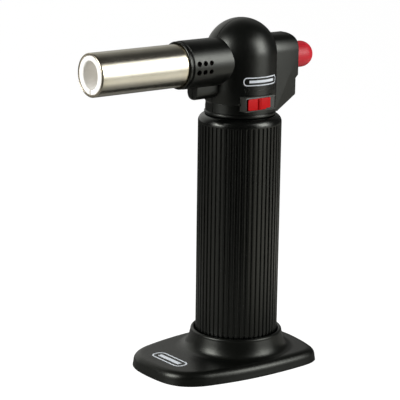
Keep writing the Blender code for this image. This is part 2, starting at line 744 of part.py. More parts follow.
def make_head():
    outer = make_head_outer()
    boolean(outer, make_head_space(), solver="MANIFOLD")
    # Air holes through both cheeks of the holder, in two rows of three.
    air = [
        rod(AIR_R, -25, 25, 8, "Y", (AIR_MID_X + column * AIR_PITCH, AIR_Z + row * AIR_DZ), 0.5)
        for column in (-1, 0, 1) for row in (-1, 1)
    ]
    cut(outer, "cut_air", merge(air), "MANIFOLD")
    bake(outer)
    make_shell(outer, "head_shell_left", -1)
    make_shell(outer, "head_shell_right", 1)


def make_screws():
    for number, (x, z, seat, tip) in enumerate(SCREWS, 1):
        profile = [
            (0, tip), (1.1, tip + 0.6), (1.1, seat + 0.3), (2.1, seat + 0.3),
            (2.1, seat + 1.4), (1.5, seat + 1.9), (0, seat + 1.9),
        ]
        screw = lathe(profile, 12, "Y", (x, z))
        part(f"head_screw_{number}", screw, "steel", (x, seat, z))


# ---------------------------------------------------------------- burner
def make_tube():
    """Flame tube with air slots in its sides, its collar and the liner at its mouth."""
    wall = lathe(
        [(TUBE_BORE, MOUTH_X + 1.6), (10.15, MOUTH_X + 0.6), (10.3, MOUTH_X), (10.8, MOUTH_X),
         (TUBE_R, MOUTH_X + 0.5), (TUBE_R, TUBE_END_X), (TUBE_BORE, TUBE_END_X)],
        32, *ON_BURNER, shift=0.5,
    )
    tube = part("burner_tube", wall, "polished_steel", (MOUTH_X, 0, BURNER_Z))
    slot_z = (BURNER_Z - 4.2, BURNER_Z + 4.2)
    cut(tube, "cut_air_slot", block((-38.8, -28.5), (-20, 20), slot_z))

    front, back = COLLAR_X
    collar = lathe(
        [(TUBE_R + 0.25, front + 0.2), (TUBE_R + 0.45, front), (12.0, front),
         (12.45, front + 0.5), (12.45, -40.95), (12.0, -40.85), (12.0, back),
         (TUBE_R + 0.25, back)], 32, *ON_BURNER, shift=0.5
    )
    part("burner_collar", collar, "black_plastic", (front, 0, BURNER_Z))

    front, back = LINER_X
    liner = lathe(
        [(7.2, front + 0.5), (7.6, front), (9.75, front), (9.75, back), (7.2, back)],
        24, *ON_BURNER,
    )
    part("ceramic_liner", liner, "white_ceramic", (MOUTH_X, 0, BURNER_Z))


def make_burner_core():
    """Flame holder, mixing tube and bulkhead, from the flame backwards."""
    disc = rod(10.0, *FLAME_HOLDER_X, 24, *ON_BURNER)
    flame_holder = part("flame_holder", disc, "brass", (FLAME_HOLDER_X[0], 0, BURNER_Z))
    jets = [rod(2.0, -80, -60, 8, *ON_BURNER), rod(1.95, -80, -60, 8, *ON_ELECTRODE)]
    jets += [
        rod(0.9, -80, -60, 6, "X", centre)
        for centre in arc(0, BURNER_Z, JET_RING_R, 30, 330, 5)
    ]
    cut(flame_holder, "cut_flame_jets", merge(jets))

    tube = ring(4.8, 5.6, *MIXER_X, 16, *ON_BURNER)
    mixer = part("mixing_tube", tube, "brass", (MIXER_X[1], 0, BURNER_Z))
    ports_z = (BURNER_Z - 2.2, BURNER_Z + 2.2)
    cut(mixer, "cut_mixer_ports", block((-36.5, -30.0), (-20, 20), ports_z))

    wall = ring(3.5, 10.0, *BULKHEAD_X, 24, *ON_BURNER)
    bulkhead = part("burner_bulkhead", wall, "brass", (BULKHEAD_X[0], 0, BURNER_Z))
    cut(bulkhead, "cut_bulkhead_electrode", rod(1.9, -40, -10, 10, *ON_ELECTRODE))


def make_gas_line():
    """Jet in the bulkhead, elbow behind it and hose down to the valve."""
    jet = lathe(
        [(0.45, -31.5), (1.4, -31.5), (2.4, -28.4), (3.2, -28.2), (3.2, JET_SEAT_X),
         (4.4, JET_SEAT_X), (4.4, -21.2), (1.5, -21.2), (1.5, -17.2), (0.45, -17.2)],
        12, *ON_BURNER,
    )
    part("gas_jet", jet, "brass", (JET_SEAT_X, 0, BURNER_Z))
    body = lathe(
        [(0, -13.6), (0.8, -13.6), (0.8, -16.6), (1.8, -16.6), (1.8, -20.9), (3.2, -20.9),
         (3.2, -11.8), (0, -11.8)], 12, *ON_BURNER
    )
    elbow = part("jet_elbow", body, "brass", (ELBOW_X, 0, BURNER_Z))
    below = ("Z", (ELBOW_X, 0))
    fuse(elbow, "cut_elbow_nipple", rod(NIPPLE_R, 155.6, 163.4, 12, *below))
    cut(elbow, "cut_elbow_bore", rod(NIPPLE_BORE, 150, BURNER_Z - 0.1, 8, *below))

    bend_x = ELBOW_X + HOSE_BEND
    bend = [(x, 0, z) for x, z in arc(bend_x, HOSE_Z + HOSE_BEND, HOSE_BEND, 270, 180, 5)]
    path = [(-5.0, 0, HOSE_Z), *bend, (ELBOW_X, 0, 160.6)]
    hose = pipe(path, HOSE_R, 8, HOSE_BORE)
    part("gas_hose", hose, "clear_hose", (bend_x, 0, HOSE_Z), sharp=60)


def make_electrode():
    """Insulator, the electrode bent down at its flame end, and the lead from the igniter."""
    insulator = ring(0.85, 1.6, *INSULATOR_X, 10, *ON_ELECTRODE)
    part("electrode_insulator", insulator, "white_ceramic", (INSULATOR_X[1], 0, ELECTRODE_Z))
    start = (ELECTRODE_START_X, 0, ELECTRODE_Z)
    wire = [
        start, (-45, 0, ELECTRODE_Z), (-74.6, 0, ELECTRODE_Z),
        (-75.6, 0, ELECTRODE_Z - 0.5), (-76.2, 0, ELECTRODE_Z - 2.2),
    ]
    part("ignition_electrode", pipe(wire, 0.5, 6), "steel", start, sharp=60)
    start = (LEAD_START_X, 0, ELECTRODE_Z)
    lead = smooth_path(
        [start, (-13.0, 0, 173.0), (-9.0, 0, 172.0), (-6.2, 0, 169.4), (-4.6, 0, 166.2),
         (-2.8, 0, BUTTON_Z + 0.2), (-0.7, 0, BUTTON_Z)], 2
    )
    part("ignition_lead", pipe(lead, 1.0, 6), "lead_insulation", start, sharp=60)


# ---------------------------------------------------------------- igniter
def make_piezo():
    """Bored case with crystal and hammer, then the plunger and spring behind them."""
    box = block(
        PIEZO_X, (-PIEZO_HALF_Y, PIEZO_HALF_Y), (BUTTON_Z - PIEZO_HALF_Z, BUTTON_Z + PIEZO_HALF_Z)
    )
    case = part("piezo_case", box, "igniter_plastic", (PIEZO_X[0], 0, BUTTON_Z))
    cut(case, "cut_case_bore", rod(3.4, 4, 22, 16, *ON_BUTTON))
    crystal = rod(2.6, *CRYSTAL_X, 12, *ON_BUTTON)
    part("piezo_crystal", crystal, "white_ceramic", (CRYSTAL_X[0], 0, BUTTON_Z))
    hammer = rod(2.9, *HAMMER_X, 12, *ON_BUTTON)
    part("piezo_hammer", hammer, "steel", (HAMMER_X[0], 0, BUTTON_Z))
    profile = [(0, 18.3), (3.0, 18.3), (3.0, 28.4), (2.5, 28.8), (0, 28.8)]
    plunger = lathe(profile, 12, *ON_BUTTON)
    part("piezo_plunger", plunger, "igniter_plastic", BUTTON_AT, button_axis)
    spring = pipe(helix(4.6, 20.9, 39.6, 6, 10, *ON_BUTTON), 0.42, 4)
    part("piezo_spring", spring, "steel", (20.5, 0, BUTTON_Z), sharp=80)


def make_button():
    """Hollow button with a rounded nose, a centre post and a flange at its inner end."""
    profile = [
        (0, 29.1), (2.2, 29.1), (2.2, 41.2), (5.0, 41.2), (5.6, 40.4), (5.6, 27.9),
        (8.1, 27.9), (8.1, 29.5), (BUTTON_R, 29.5),
    ]
    profile += arc(0, BUTTON_TIP - BUTTON_R, BUTTON_R, 0, 72, 4)
    profile.append((0, BUTTON_TIP))
    button = lathe(profile, 24, *ON_BUTTON, shift=0.5)
    part("igniter_button", button, "red_plastic", BUTTON_AT, button_axis)


for build in (
    make_stand, make_handle, make_tank, make_fill_valve, make_outlet_valve, make_lever,
    make_slider, make_bezel, make_head, make_screws, make_tube, make_burner_core,
    make_gas_line, make_electrode, make_piezo, make_button,
):
    build()
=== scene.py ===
# A hand-held gas torch standing upright in its oval stand.
# The handle runs up the Z axis from the stand on z = 0. The burner points to the front, -X, and
# the igniter button to the rear, +X. The gas slider is on the left, -Y, and the case screws go in
# from the right, +Y. Shapes are drawn in millimetres; solid() brings them to metres.
import math

import bmesh
import bpy
from mathutils import Matrix, Vector


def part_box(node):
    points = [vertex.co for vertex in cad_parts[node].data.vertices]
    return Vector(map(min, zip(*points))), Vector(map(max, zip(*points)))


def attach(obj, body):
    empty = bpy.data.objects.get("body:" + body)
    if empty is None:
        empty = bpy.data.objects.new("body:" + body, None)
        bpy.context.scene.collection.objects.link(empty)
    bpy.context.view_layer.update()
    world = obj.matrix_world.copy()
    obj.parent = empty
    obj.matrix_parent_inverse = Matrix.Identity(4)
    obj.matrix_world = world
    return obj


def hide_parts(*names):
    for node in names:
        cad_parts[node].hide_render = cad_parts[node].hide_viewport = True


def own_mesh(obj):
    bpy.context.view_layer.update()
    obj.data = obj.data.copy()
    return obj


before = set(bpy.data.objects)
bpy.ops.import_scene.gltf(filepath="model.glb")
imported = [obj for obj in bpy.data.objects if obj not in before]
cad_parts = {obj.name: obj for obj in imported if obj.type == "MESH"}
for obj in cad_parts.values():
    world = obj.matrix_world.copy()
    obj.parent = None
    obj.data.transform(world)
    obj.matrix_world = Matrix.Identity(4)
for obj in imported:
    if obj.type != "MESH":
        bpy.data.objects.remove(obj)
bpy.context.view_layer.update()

MM = 0.001
scene = bpy.context.scene


def span(node):
    """Lowest and highest corner of a CAD node, in millimetres."""
    low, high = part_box(node)
    return Vector(low) * 1000, Vector(high) * 1000


# ------------------------------------------------------------------ places taken from the CAD, mm
sleeve_low, sleeve_high = span("handle_sleeve")
shell_low, shell_high = span("head_shell_left")
tube_low, tube_high = span("burner_tube")
collar_low, collar_high = span("burner_collar")
liner_low, liner_high = span("ceramic_liner")
bezel_low, bezel_high = span("slider_bezel")
button_low, button_high = span("igniter_button")

HANDLE_R = sleeve_high.x
HANDLE_FOOT = sleeve_low.z
SHOULDER_Z = sleeve_high.z
STAND_COLLAR_Z = span("base_stand")[1].z
HEAD_R = -shell_low.y
HEAD_FOOT = shell_low.z
DOME_Z = shell_high.z - HEAD_R  # centre of the domed top
REAR_X = shell_high.x
HOLDER_X = shell_low.x  # front end of the holder round the burner tube
BURNER_Z = (tube_low.z + tube_high.z) / 2
MOUTH_X = tube_low.x
TUBE_END_X = tube_high.x
BUTTON_Z = (button_low.z + button_high.z) / 2
BUTTON_TIP = button_high.x
SLIDER_CREST_Y = span("flow_slider")[0].y + 0.3
BEZEL_FRONT = bezel_low.x - 0.45

# ------------------------------------------------------------------ chosen sizes shared by pieces, mm
TUBE_R = 11.2
HOLDER_R = 12.6
BUTTON_R = 7.1
STAND_TOP = 7.2
SCREWS = (  # x, z, y of the seat under the head
    (-25.5, 150.6, 1.4),
    (24.0, 150.5, 5.5),
    (2.0, 181.5, 6.0),
    (-13.6, 142.9, 8.6),
)


def cosd(degrees):
    return math.cos(math.radians(degrees))


def sind(degrees):
    return math.sin(math.radians(degrees))


# ------------------------------------------------------------------ shader node helpers
class Graph:
    """Short calls that add nodes to a shader tree; an input is a value or another node's output."""

    def __init__(self, tree):
        self.nodes = tree.nodes
        self.links = tree.links

    def node(self, kind, **settings):
        node = self.nodes.new("ShaderNode" + kind)
        for key, value in settings.items():
            setattr(node, key, value)
        return node

    def feed(self, value, socket):
        if isinstance(value, bpy.types.NodeSocket):
            self.links.new(value, socket)
        elif value is not None:
            socket.default_value = value

    def remap(self, value, old, new=(0.0, 1.0), smooth=False):
        """Maps the interval old onto the interval new."""
        node = self.node("MapRange", interpolation_type="SMOOTHSTEP" if smooth else "LINEAR")
        for setting, socket in zip((value, *old, *new), node.inputs):
            self.feed(setting, socket)
        return node.outputs[0]

    def calc(self, operation, first, second):
        node = self.node("Math", operation=operation)
        self.feed(first, node.inputs[0])
        self.feed(second, node.inputs[1])
        return node.outputs[0]

    def vector(self, operation, first, second=None):
        node = self.node("VectorMath", operation=operation)
        self.feed(first, node.inputs[0])
        self.feed(second, node.inputs[1])
        scalar = operation in ("DOT_PRODUCT", "LENGTH")
        return node.outputs["Value" if scalar else "Vector"]

    def axis(self, number, source):
        node = self.node("SeparateXYZ")
        self.feed(source, node.inputs[0])
        return node.outputs[number]

    def ramp(self, factor, stops):
        """stops are (position, colour)."""
        node = self.node("ValToRGB")
        self.feed(factor, node.inputs[0])
        elements = node.color_ramp.elements
        while len(elements) < len(stops):
            elements.new(0.5)
        for element, (position, colour) in zip(elements, stops):
            element.position = position
            element.color = (*colour, 1.0)
        return node.outputs[0]

    def mix_shaders(self, factor, first, second):
        node = self.node("MixShader")
        for value, socket in zip((factor, first, second), node.inputs):
            self.feed(value, socket)
        return node.outputs[0]


class Material(Graph):
    """A node material whose textures are laid out in millimetres of object space."""

    def __init__(self, name):
        self.mat = bpy.data.materials.new(name)
        self.mat.use_nodes = True
        super().__init__(self.mat.node_tree)
        self.bsdf = self.nodes["Principled BSDF"]
        scale = self.node("VectorMath", operation="SCALE")
        scale.inputs["Scale"].default_value = 1000.0
        self.feed(self.node("TexCoord").outputs["Object"], scale.inputs[0])
        self.mm = scale.outputs[0]

    def noise(self, scale, detail=3.0, rough=0.55, stretch=None):
        """Noise; stretch multiplies the position along each axis."""
        node = self.node("TexNoise")
        node.inputs["Scale"].default_value = scale
        node.inputs["Detail"].default_value = detail
        node.inputs["Roughness"].default_value = rough
        place_mm = self.vector("MULTIPLY", self.mm, stretch) if stretch else self.mm
        self.feed(place_mm, node.inputs["Vector"])
        return node.outputs["Fac"]

    def voronoi(self, scale):
        node = self.node("TexVoronoi")
        node.inputs["Scale"].default_value = scale
        self.feed(self.mm, node.inputs["Vector"])
        return node.outputs["Distance"]

    def mix(self, factor, first, second, mode="MIX"):
        node = self.node("Mix", data_type="RGBA", blend_type=mode)
        self.feed(factor, node.inputs[0])
        for value, socket in ((first, node.inputs[6]), (second, node.inputs[7])):
            self.feed((*value, 1.0) if isinstance(value, tuple) else value, socket)
        return node.outputs[2]

    def edge(self, radius):
        """A mask that is 1 close to edges, and the rounded normal there."""
        bevel_node = self.node("Bevel", samples=4)
        bevel_node.inputs["Radius"].default_value = radius * MM
        flat_normal = self.node("NewGeometry").outputs["Normal"]
        agreement = self.vector("DOT_PRODUCT", bevel_node.outputs[0], flat_normal)
        mask = self.remap(agreement, old=(0.995, 0.80), smooth=True)
        return mask, bevel_node.outputs[0]

    def bump(self, height, distance, strength=1.0, normal=None):
        node = self.node("Bump")
        node.inputs["Strength"].default_value = strength
        node.inputs["Distance"].default_value = distance * MM
        self.feed(height, node.inputs["Height"])
        self.feed(normal, node.inputs["Normal"])
        return node.outputs[0]

    def finish(self, colour, rough, metallic=0.0, normal=None, **extra):
        """Feeds the Principled shader; extra names are its inputs with _ for a space."""
        inputs = self.bsdf.inputs
        self.feed(colour, inputs["Base Color"])
        self.feed(rough, inputs["Roughness"])
        self.feed(metallic, inputs["Metallic"])
        self.feed(normal, inputs["Normal"])
        for key, value in extra.items():
            self.feed(value, inputs[key.replace("_", " ")])
        return self.mat


# ------------------------------------------------------------------ materials
def lighter(colour, gain, lift):
    return tuple(min(1.0, channel * gain + lift) for channel in colour)


def moulded(name, dark, light, rough, grain, grain_scale, edge_radius, edge_lightening,
            specular=0.5, tint=(1.0, 1.0, 1.0)):
    """Moulded plastic: fine grain, slow tone drift, lighter edges and a few dust specks.

    The lighter edges are rubbed wear, and on the red slider also a painted highlight on its ridge.
    grain is the bump depth and edge_radius the width of the lighter edge, both in mm.
    """
    mat = Material(name)
    drift = mat.noise(scale=0.045)
    cloud = mat.noise(scale=0.35, detail=4.0, rough=0.6)
    fine = mat.noise(scale=grain_scale, rough=0.65)
    pits = mat.voronoi(scale=grain_scale * 1.4)
    colour = mat.mix(mat.remap(drift, old=(0.35, 0.65)), dark, light)
    cloud_share = mat.remap(cloud, old=(0.55, 0.75), new=(0.0, 0.35))
    colour = mat.mix(cloud_share, colour, lighter(light, gain=1.35, lift=0.0006))

    # lighter edges: rubbed wear, and on the red slider also a painted highlight
    mask, rounded_normal = mat.edge(edge_radius)
    patchy = mat.remap(mat.noise(scale=0.9, detail=4.0), old=(0.35, 0.7), new=(0.15, 1.0))
    rubbed_and_highlight = mat.calc("MULTIPLY", mask, patchy)
    rubbed_and_highlight = mat.calc("MULTIPLY", rubbed_and_highlight, edge_lightening)
    colour = mat.mix(rubbed_and_highlight, colour, lighter(light, gain=2.1, lift=0.012))

    specks = mat.remap(mat.voronoi(scale=0.42), old=(0.0, 0.055), new=(1.0, 0.0), smooth=True)
    dusty = mat.remap(mat.noise(scale=0.16, detail=2.0), old=(0.52, 0.62))
    dust = mat.calc("MULTIPLY", mat.calc("MULTIPLY", specks, dusty), 0.3)
    colour = mat.mix(dust, colour, (0.32, 0.31, 0.29))

    sheen = mat.noise(scale=0.8, detail=4.0, rough=0.6)
    roughness = mat.remap(sheen, old=(0.3, 0.7), new=rough)
    grain_rough = mat.remap(fine, old=(0.3, 0.7), new=(-0.02, 0.02))
    roughness = mat.calc("ADD", roughness, grain_rough)
    height = mat.calc("ADD", mat.calc("MULTIPLY", fine, 0.7), mat.calc("MULTIPLY", pits, 0.5))
    normal = mat.bump(height, distance=grain, normal=rounded_normal)
    return mat.finish(colour, roughness, normal=normal,
                      Specular_IOR_Level=specular, Specular_Tint=(*tint, 1.0))


HOLDER_HEAT = (  # tint over the 6.2 mm that end behind the collar's front face
    (0.0, (1.0, 1.0, 1.0)),
    (0.5, (1.0, 0.985, 0.95)),
    (0.72, (1.0, 0.94, 0.80)),
    (0.80, (1.0, 0.84, 0.58)),
    (0.87, (0.92, 0.60, 0.42)),
    (1.0, (0.55, 0.36, 0.34)),
)
MOUTH_HEAT = (  # tint over the first 7 mm from the mouth
    (0.0, (0.60, 0.56, 0.52)),
    (0.10, (0.80, 0.77, 0.73)),
    (0.22, (0.96, 0.95, 0.93)),
    (1.0, (1.0, 1.0, 1.0)),
)


def steel_polished(name):
    """Polished tube: lengthwise draw marks, faint smudges and heat tints at both ends."""
    mat = Material(name)
    lengthwise = (0.05, 1.0, 1.0)
    marks = mat.noise(scale=2.6, detail=4.0, rough=0.6, stretch=lengthwise)
    fine = mat.noise(scale=9.0, detail=2.0, rough=0.5, stretch=lengthwise)
    smudge = mat.noise(scale=0.09, detail=4.0, rough=0.6)
    smudge_share = mat.remap(smudge, old=(0.35, 0.7))
    base = mat.mix(smudge_share, (0.75, 0.712, 0.605), (0.65, 0.613, 0.51))
    mark_share = mat.remap(marks, old=(0.45, 0.75), new=(0.0, 0.14))
    base = mat.mix(mark_share, base, (0.52, 0.48, 0.40))

    wobble = mat.remap(mat.noise(scale=0.22), old=(0.3, 0.7), new=(-0.5, 0.5))
    along = mat.calc("ADD", mat.axis(0, mat.mm), wobble)
    for reach, stops in (
        ((collar_low.x - 5.0, collar_low.x + 1.2), HOLDER_HEAT),
        ((MOUTH_X - 0.2, MOUTH_X + 7.0), MOUTH_HEAT),
    ):
        heat = mat.ramp(mat.remap(along, old=reach), stops)
        base = mat.mix(1.0, base, heat, mode="MULTIPLY")

    rough = mat.remap(mat.noise(scale=0.25, rough=0.5), old=(0.3, 0.7), new=(0.215, 0.25))
    rough = mat.calc("ADD", rough, mat.remap(fine, old=(0.3, 0.7), new=(-0.004, 0.008)))
    height = mat.calc("ADD", mat.calc("MULTIPLY", marks, 0.5), mat.calc("MULTIPLY", fine, 0.25))
    normal = mat.bump(height, distance=0.002)
    return mat.finish(base, rough, metallic=1.0, normal=normal, Anisotropic=0.25)


def metal(name, light, dark, rough):
    """Turned or rolled metal with tool marks and uneven tarnish."""
    mat = Material(name)
    cloud = mat.noise(scale=0.35, detail=5.0, rough=0.6)
    fine = mat.noise(scale=5.0, rough=0.6)
    colour = mat.mix(mat.remap(cloud, old=(0.4, 0.7), new=(0.0, 0.4)), light, dark)
    colour = mat.mix(mat.remap(fine, old=(0.55, 0.8), new=(0.0, 0.3)), colour, dark)
    roughness = mat.remap(cloud, old=(0.3, 0.7), new=rough)
    wave = mat.node("TexWave", wave_type="RINGS", rings_direction="SPHERICAL")
    wave.inputs["Scale"].default_value = 2.2
    wave.inputs["Distortion"].default_value = 1.5
    mat.feed(mat.mm, wave.inputs["Vector"])
    rings = mat.calc("MULTIPLY", wave.outputs["Fac"], 0.6)
    normal = mat.bump(mat.calc("ADD", rings, fine), distance=0.008)
    return mat.finish(colour, roughness, metallic=1.0, normal=normal)


def ceramic(name):
    """Unglazed white ceramic: fine pores and faint grey stains, with a slight warm emission that is
    painted light.
    """
    mat = Material(name)
    cloud = mat.noise(scale=0.3, detail=5.0, rough=0.6)
    pores = mat.remap(mat.voronoi(scale=2.8), old=(0.0, 0.25))
    stain = mat.remap(cloud, old=(0.42, 0.75), new=(0.0, 0.35))
    colour = mat.mix(stain, (0.86, 0.85, 0.825), (0.80, 0.785, 0.75))
    pore_share = mat.remap(pores, old=(0.0, 0.6), new=(0.2, 0.0))
    colour = mat.mix(pore_share, colour, (0.6, 0.59, 0.56))
    rough = mat.remap(cloud, old=(0.3, 0.7), new=(0.5, 0.68))
    height = mat.calc("ADD", pores, mat.calc("MULTIPLY", mat.noise(scale=6.0), 0.6))
    normal = mat.bump(height, distance=0.02, strength=0.8)
    # the warm emission is painted light: the ceramic glows though nothing lights it from inside
    return mat.finish(colour, rough, normal=normal,
                      Emission_Color=(1.0, 0.92, 0.76, 1.0), Emission_Strength=0.09)


def soft_plastic(name, light, dark, rough, transmission=0.0, fibre=False):
    """Cloudy tone and soft grain; fibre draws the grain out along Z and deepens it."""
    mat = Material(name)
    cloud = mat.noise(scale=0.25, detail=4.0)
    stretch = (1.0, 1.0, 0.2) if fibre else None
    fine = mat.noise(scale=3.5, detail=4.0, rough=0.6, stretch=stretch)
    colour = mat.mix(mat.remap(cloud, old=(0.35, 0.7)), light, dark)
    colour = mat.mix(mat.remap(fine, old=(0.5, 0.8), new=(0.0, 0.35)), colour, dark)
    roughness = mat.remap(fine, old=(0.3, 0.7), new=rough)
    normal = mat.bump(fine, distance=0.04 if fibre else 0.01)
    return mat.finish(colour, roughness, normal=normal, Transmission_Weight=transmission)


M = {
    "body": moulded(
        "black_body", dark=(0.0012, 0.0014, 0.0012), light=(0.0020, 0.0023, 0.0019),
        rough=(0.29, 0.35), grain=0.004, grain_scale=3.4, edge_radius=0.25, edge_lightening=0.20,
        tint=(0.97, 1.0, 0.92)),
    "stand": moulded(
        "black_stand", dark=(0.0013, 0.0015, 0.0012), light=(0.0022, 0.0025, 0.0019),
        rough=(0.28, 0.34), grain=0.004, grain_scale=2.6, edge_radius=0.3, edge_lightening=0.20,
        specular=0.37, tint=(0.97, 1.0, 0.91)),
    "sleeve": moulded(
        "black_sleeve", dark=(0.0012, 0.0014, 0.0012), light=(0.0020, 0.0023, 0.0020),
        rough=(0.19, 0.27), grain=0.004, grain_scale=3.4, edge_radius=0.10, edge_lightening=0.22,
        tint=(0.97, 1.0, 0.92)),
    "collar": moulded(
        "black_collar", dark=(0.0012, 0.0014, 0.0012), light=(0.0020, 0.0023, 0.0020),
        rough=(0.22, 0.30), grain=0.005, grain_scale=3.4, edge_radius=0.12, edge_lightening=0.3,
        specular=0.55, tint=(0.97, 1.0, 0.92)),
    "bezel": moulded(
        "grey_bezel", dark=(0.030, 0.032, 0.027), light=(0.042, 0.044, 0.037),
        rough=(0.38, 0.5), grain=0.012, grain_scale=3.0, edge_radius=0.12, edge_lightening=0.4),
    # its strong edge lightening is a painted highlight on the ridge as well as wear
    "red_slider": moulded(
        "red_slider", dark=(0.49, 0.003, 0.004), light=(0.56, 0.005, 0.007),
        rough=(0.34, 0.46), grain=0.006, grain_scale=3.0, edge_radius=0.22, edge_lightening=0.3,
        specular=0.12),
    "red_button": moulded(
        "red_button", dark=(0.56, 0.012, 0.024), light=(0.64, 0.020, 0.034),
        rough=(0.34, 0.46), grain=0.006, grain_scale=3.0, edge_radius=0.25, edge_lightening=0.10,
        specular=0.36),
    "ink": moulded(
        "pale_ink", dark=(0.62, 0.68, 0.74), light=(0.76, 0.80, 0.84),
        rough=(0.42, 0.56), grain=0.004, grain_scale=4.0, edge_radius=0.03, edge_lightening=0.0),
    "steel": steel_polished("steel_polished"),
    "ceramic": ceramic("ceramic_white"),
    "brass": metal("brass_turned", light=(0.80, 0.58, 0.27), dark=(0.50, 0.32, 0.12),
                   rough=(0.22, 0.38)),
    "sooted": metal("brass_sooted", light=(0.10, 0.07, 0.045), dark=(0.045, 0.034, 0.026),
                    rough=(0.45, 0.6)),
    "plain_steel": metal("steel_plain", light=(0.62, 0.62, 0.61), dark=(0.36, 0.35, 0.34),
                         rough=(0.28, 0.42)),
    "zinc": metal("zinc_screw", light=(0.66, 0.67, 0.68), dark=(0.42, 0.42, 0.40),
                  rough=(0.3, 0.45)),
    "rubber": moulded(
        "rubber_seal", dark=(0.018, 0.018, 0.018), light=(0.028, 0.028, 0.027),
        rough=(0.6, 0.75), grain=0.02, grain_scale=2.4, edge_radius=0.1, edge_lightening=0.1,
        specular=0.3),
    "nylon": soft_plastic("nylon_natural", light=(0.80, 0.77, 0.68), dark=(0.70, 0.66, 0.56),
                          rough=(0.35, 0.5), transmission=0.1),
    "felt": soft_plastic("felt_wick", light=(0.84, 0.82, 0.76), dark=(0.66, 0.63, 0.56),
                         rough=(0.9, 1.0), fibre=True),
    "hose": soft_plastic("hose_clear", light=(0.78, 0.76, 0.66), dark=(0.68, 0.65, 0.54),
                         rough=(0.2, 0.35), transmission=0.35),
    "lead": soft_plastic("lead_red", light=(0.62, 0.05, 0.04), dark=(0.48, 0.03, 0.03),
                         rough=(0.35, 0.5)),
    "resin": soft_plastic("igniter_resin", light=(0.68, 0.64, 0.52), dark=(0.56, 0.51, 0.40),
                          rough=(0.35, 0.5)),
}


# ------------------------------------------------------------------ objects from meshes
def outward(bm):
    bmesh.ops.recalc_face_normals(bm, faces=bm.faces)
    if bm.calc_volume(signed=True) < 0:
        bmesh.ops.reverse_faces(bm, faces=bm.faces)


def solid(name, bm):
    """A bmesh in millimetres becomes a bare object in metres."""
    outward(bm)
    bm.transform(Matrix.Scale(MM, 4))
    mesh = bpy.data.meshes.new(name)
    bm.to_mesh(mesh)
    bm.free()
    obj = bpy.data.objects.new(name, mesh)
    scene.collection.objects.link(obj)
    return obj


def shade(mesh, material, sharp):
    """One material, smooth shading and sharp edges above an angle in degrees."""
    mesh.materials.clear()
    mesh.materials.append(material)
    mesh.shade_smooth()
    mesh.set_sharp_from_angle(angle=math.radians(sharp))


def settle(obj, material, body, nodes=(), slot=None, sharp=32.0):
    """Finishes a piece that rides on a body and stands for CAD nodes."""
    shade(obj.data, material, sharp)
    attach(obj, body)
    if nodes:
        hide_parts(*nodes)
    return obj


def place(name, bm, *looks, **more_looks):
    return settle(solid(name, bm), *looks, **more_looks)


def bake(obj):
    """Applies the modifiers."""
    bpy.context.view_layer.update()
    graph = bpy.context.evaluated_depsgraph_get()
    mesh = bpy.data.meshes.new_from_object(obj.evaluated_get(graph))
    obj.modifiers.clear()
    old = obj.data
    obj.data = mesh
    bpy.data.meshes.remove(old)
    return obj


def cut(obj, other, operation="DIFFERENCE"):
    """Applies a Boolean with a bmesh or an object, and drops the other shape."""
    if not isinstance(other, bpy.types.Object):
        other = solid("cutter", other)
    mod = obj.modifiers.new("cut", "BOOLEAN")
    mod.operation = operation
    mod.solver = "MANIFOLD"
    mod.object = other
    bake(obj)
    bpy.data.objects.remove(other, do_unlink=True)


def fuse(obj, other):
    cut(obj, other, "UNION")


def trim(obj, other):
    cut(obj, other, "INTERSECT")


def bevel(obj, width, segments=2, angle=40.0):
    mod = obj.modifiers.new("bevel", "BEVEL")
    mod.width = width * MM
    mod.segments = segments
    mod.limit_method = "ANGLE"
    mod.angle_limit = math.radians(angle)
    return bake(obj)


# ------------------------------------------------------------------ outlines, mm
def rounded(points, radii, count=5):
    """Replaces the corners of a closed outline by arcs. radii is one number or one per point."""
    corners = [Vector(p) for p in points]
    if not hasattr(radii, "__len__"):
        radii = [radii] * len(corners)
    out = []
    for i, (corner, radius) in enumerate(zip(corners, radii)):
        if radius <= 0:
            out.append(corner.copy())
            continue
        back = corners[i - 1] - corner
        ahead = corners[(i + 1) % len(corners)] - corner
        back_length, ahead_length = back.length, ahead.length
        back.normalize()
        ahead.normalize()
        angle = math.acos(max(-1.0, min(1.0, back.dot(ahead))))
        if angle > math.pi - 0.02:  # almost straight
            out.append(corner.copy())
            continue
        trimmed = min(radius / math.tan(angle / 2), back_length * 0.49, ahead_length * 0.49)
        radius = trimmed * math.tan(angle / 2)
        centre = corner + (back + ahead).normalized() * (radius / math.sin(angle / 2))
        start = corner + back * trimmed - centre
        end = corner + ahead * trimmed - centre
        sweep = math.atan2(start.x * end.y - start.y * end.x, start.dot(end))
        for k in range(count + 1):
            turn = sweep * k / count
            cos, sin = math.cos(turn), math.sin(turn)
            spoke = (start.x * cos - start.y * sin, start.x * sin + start.y * cos)
            out.append(centre + Vector(spoke))
    return [(p.x, p.y) for p in out]


def spline(points, count, closed=False):
    """Centripetal Catmull-Rom curve through the points, count steps to a span."""
    def between(first, second, start, end, t):
        return first * ((end - t) / (end - start)) + second * ((t - start) / (end - start))

    pts = [Vector(p) for p in points]
    if closed:
        padded = [pts[-1]] + pts + pts[:2]
    else:
        padded = [pts[0] * 2 - pts[1]] + pts + [pts[-1] * 2 - pts[-2]]
    out = []
    for i in range(len(padded) - 3):
        four = padded[i:i + 4]
        knots = [0.0]
        for a, b in zip(four, four[1:]):
            knots.append(knots[-1] + max((b - a).length, 1e-6) ** 0.5)
        for k in range(count):
            t = knots[1] + (knots[2] - knots[1]) * k / count
            three = [between(four[j], four[j + 1], knots[j], knots[j + 1], t) for j in range(3)]
            two = [between(three[j], three[j + 1], knots[j], knots[j + 2], t) for j in range(2)]
            out.append(between(two[0], two[1], knots[1], knots[2], t))
    if not closed:
        out.append(pts[-1])
    return out


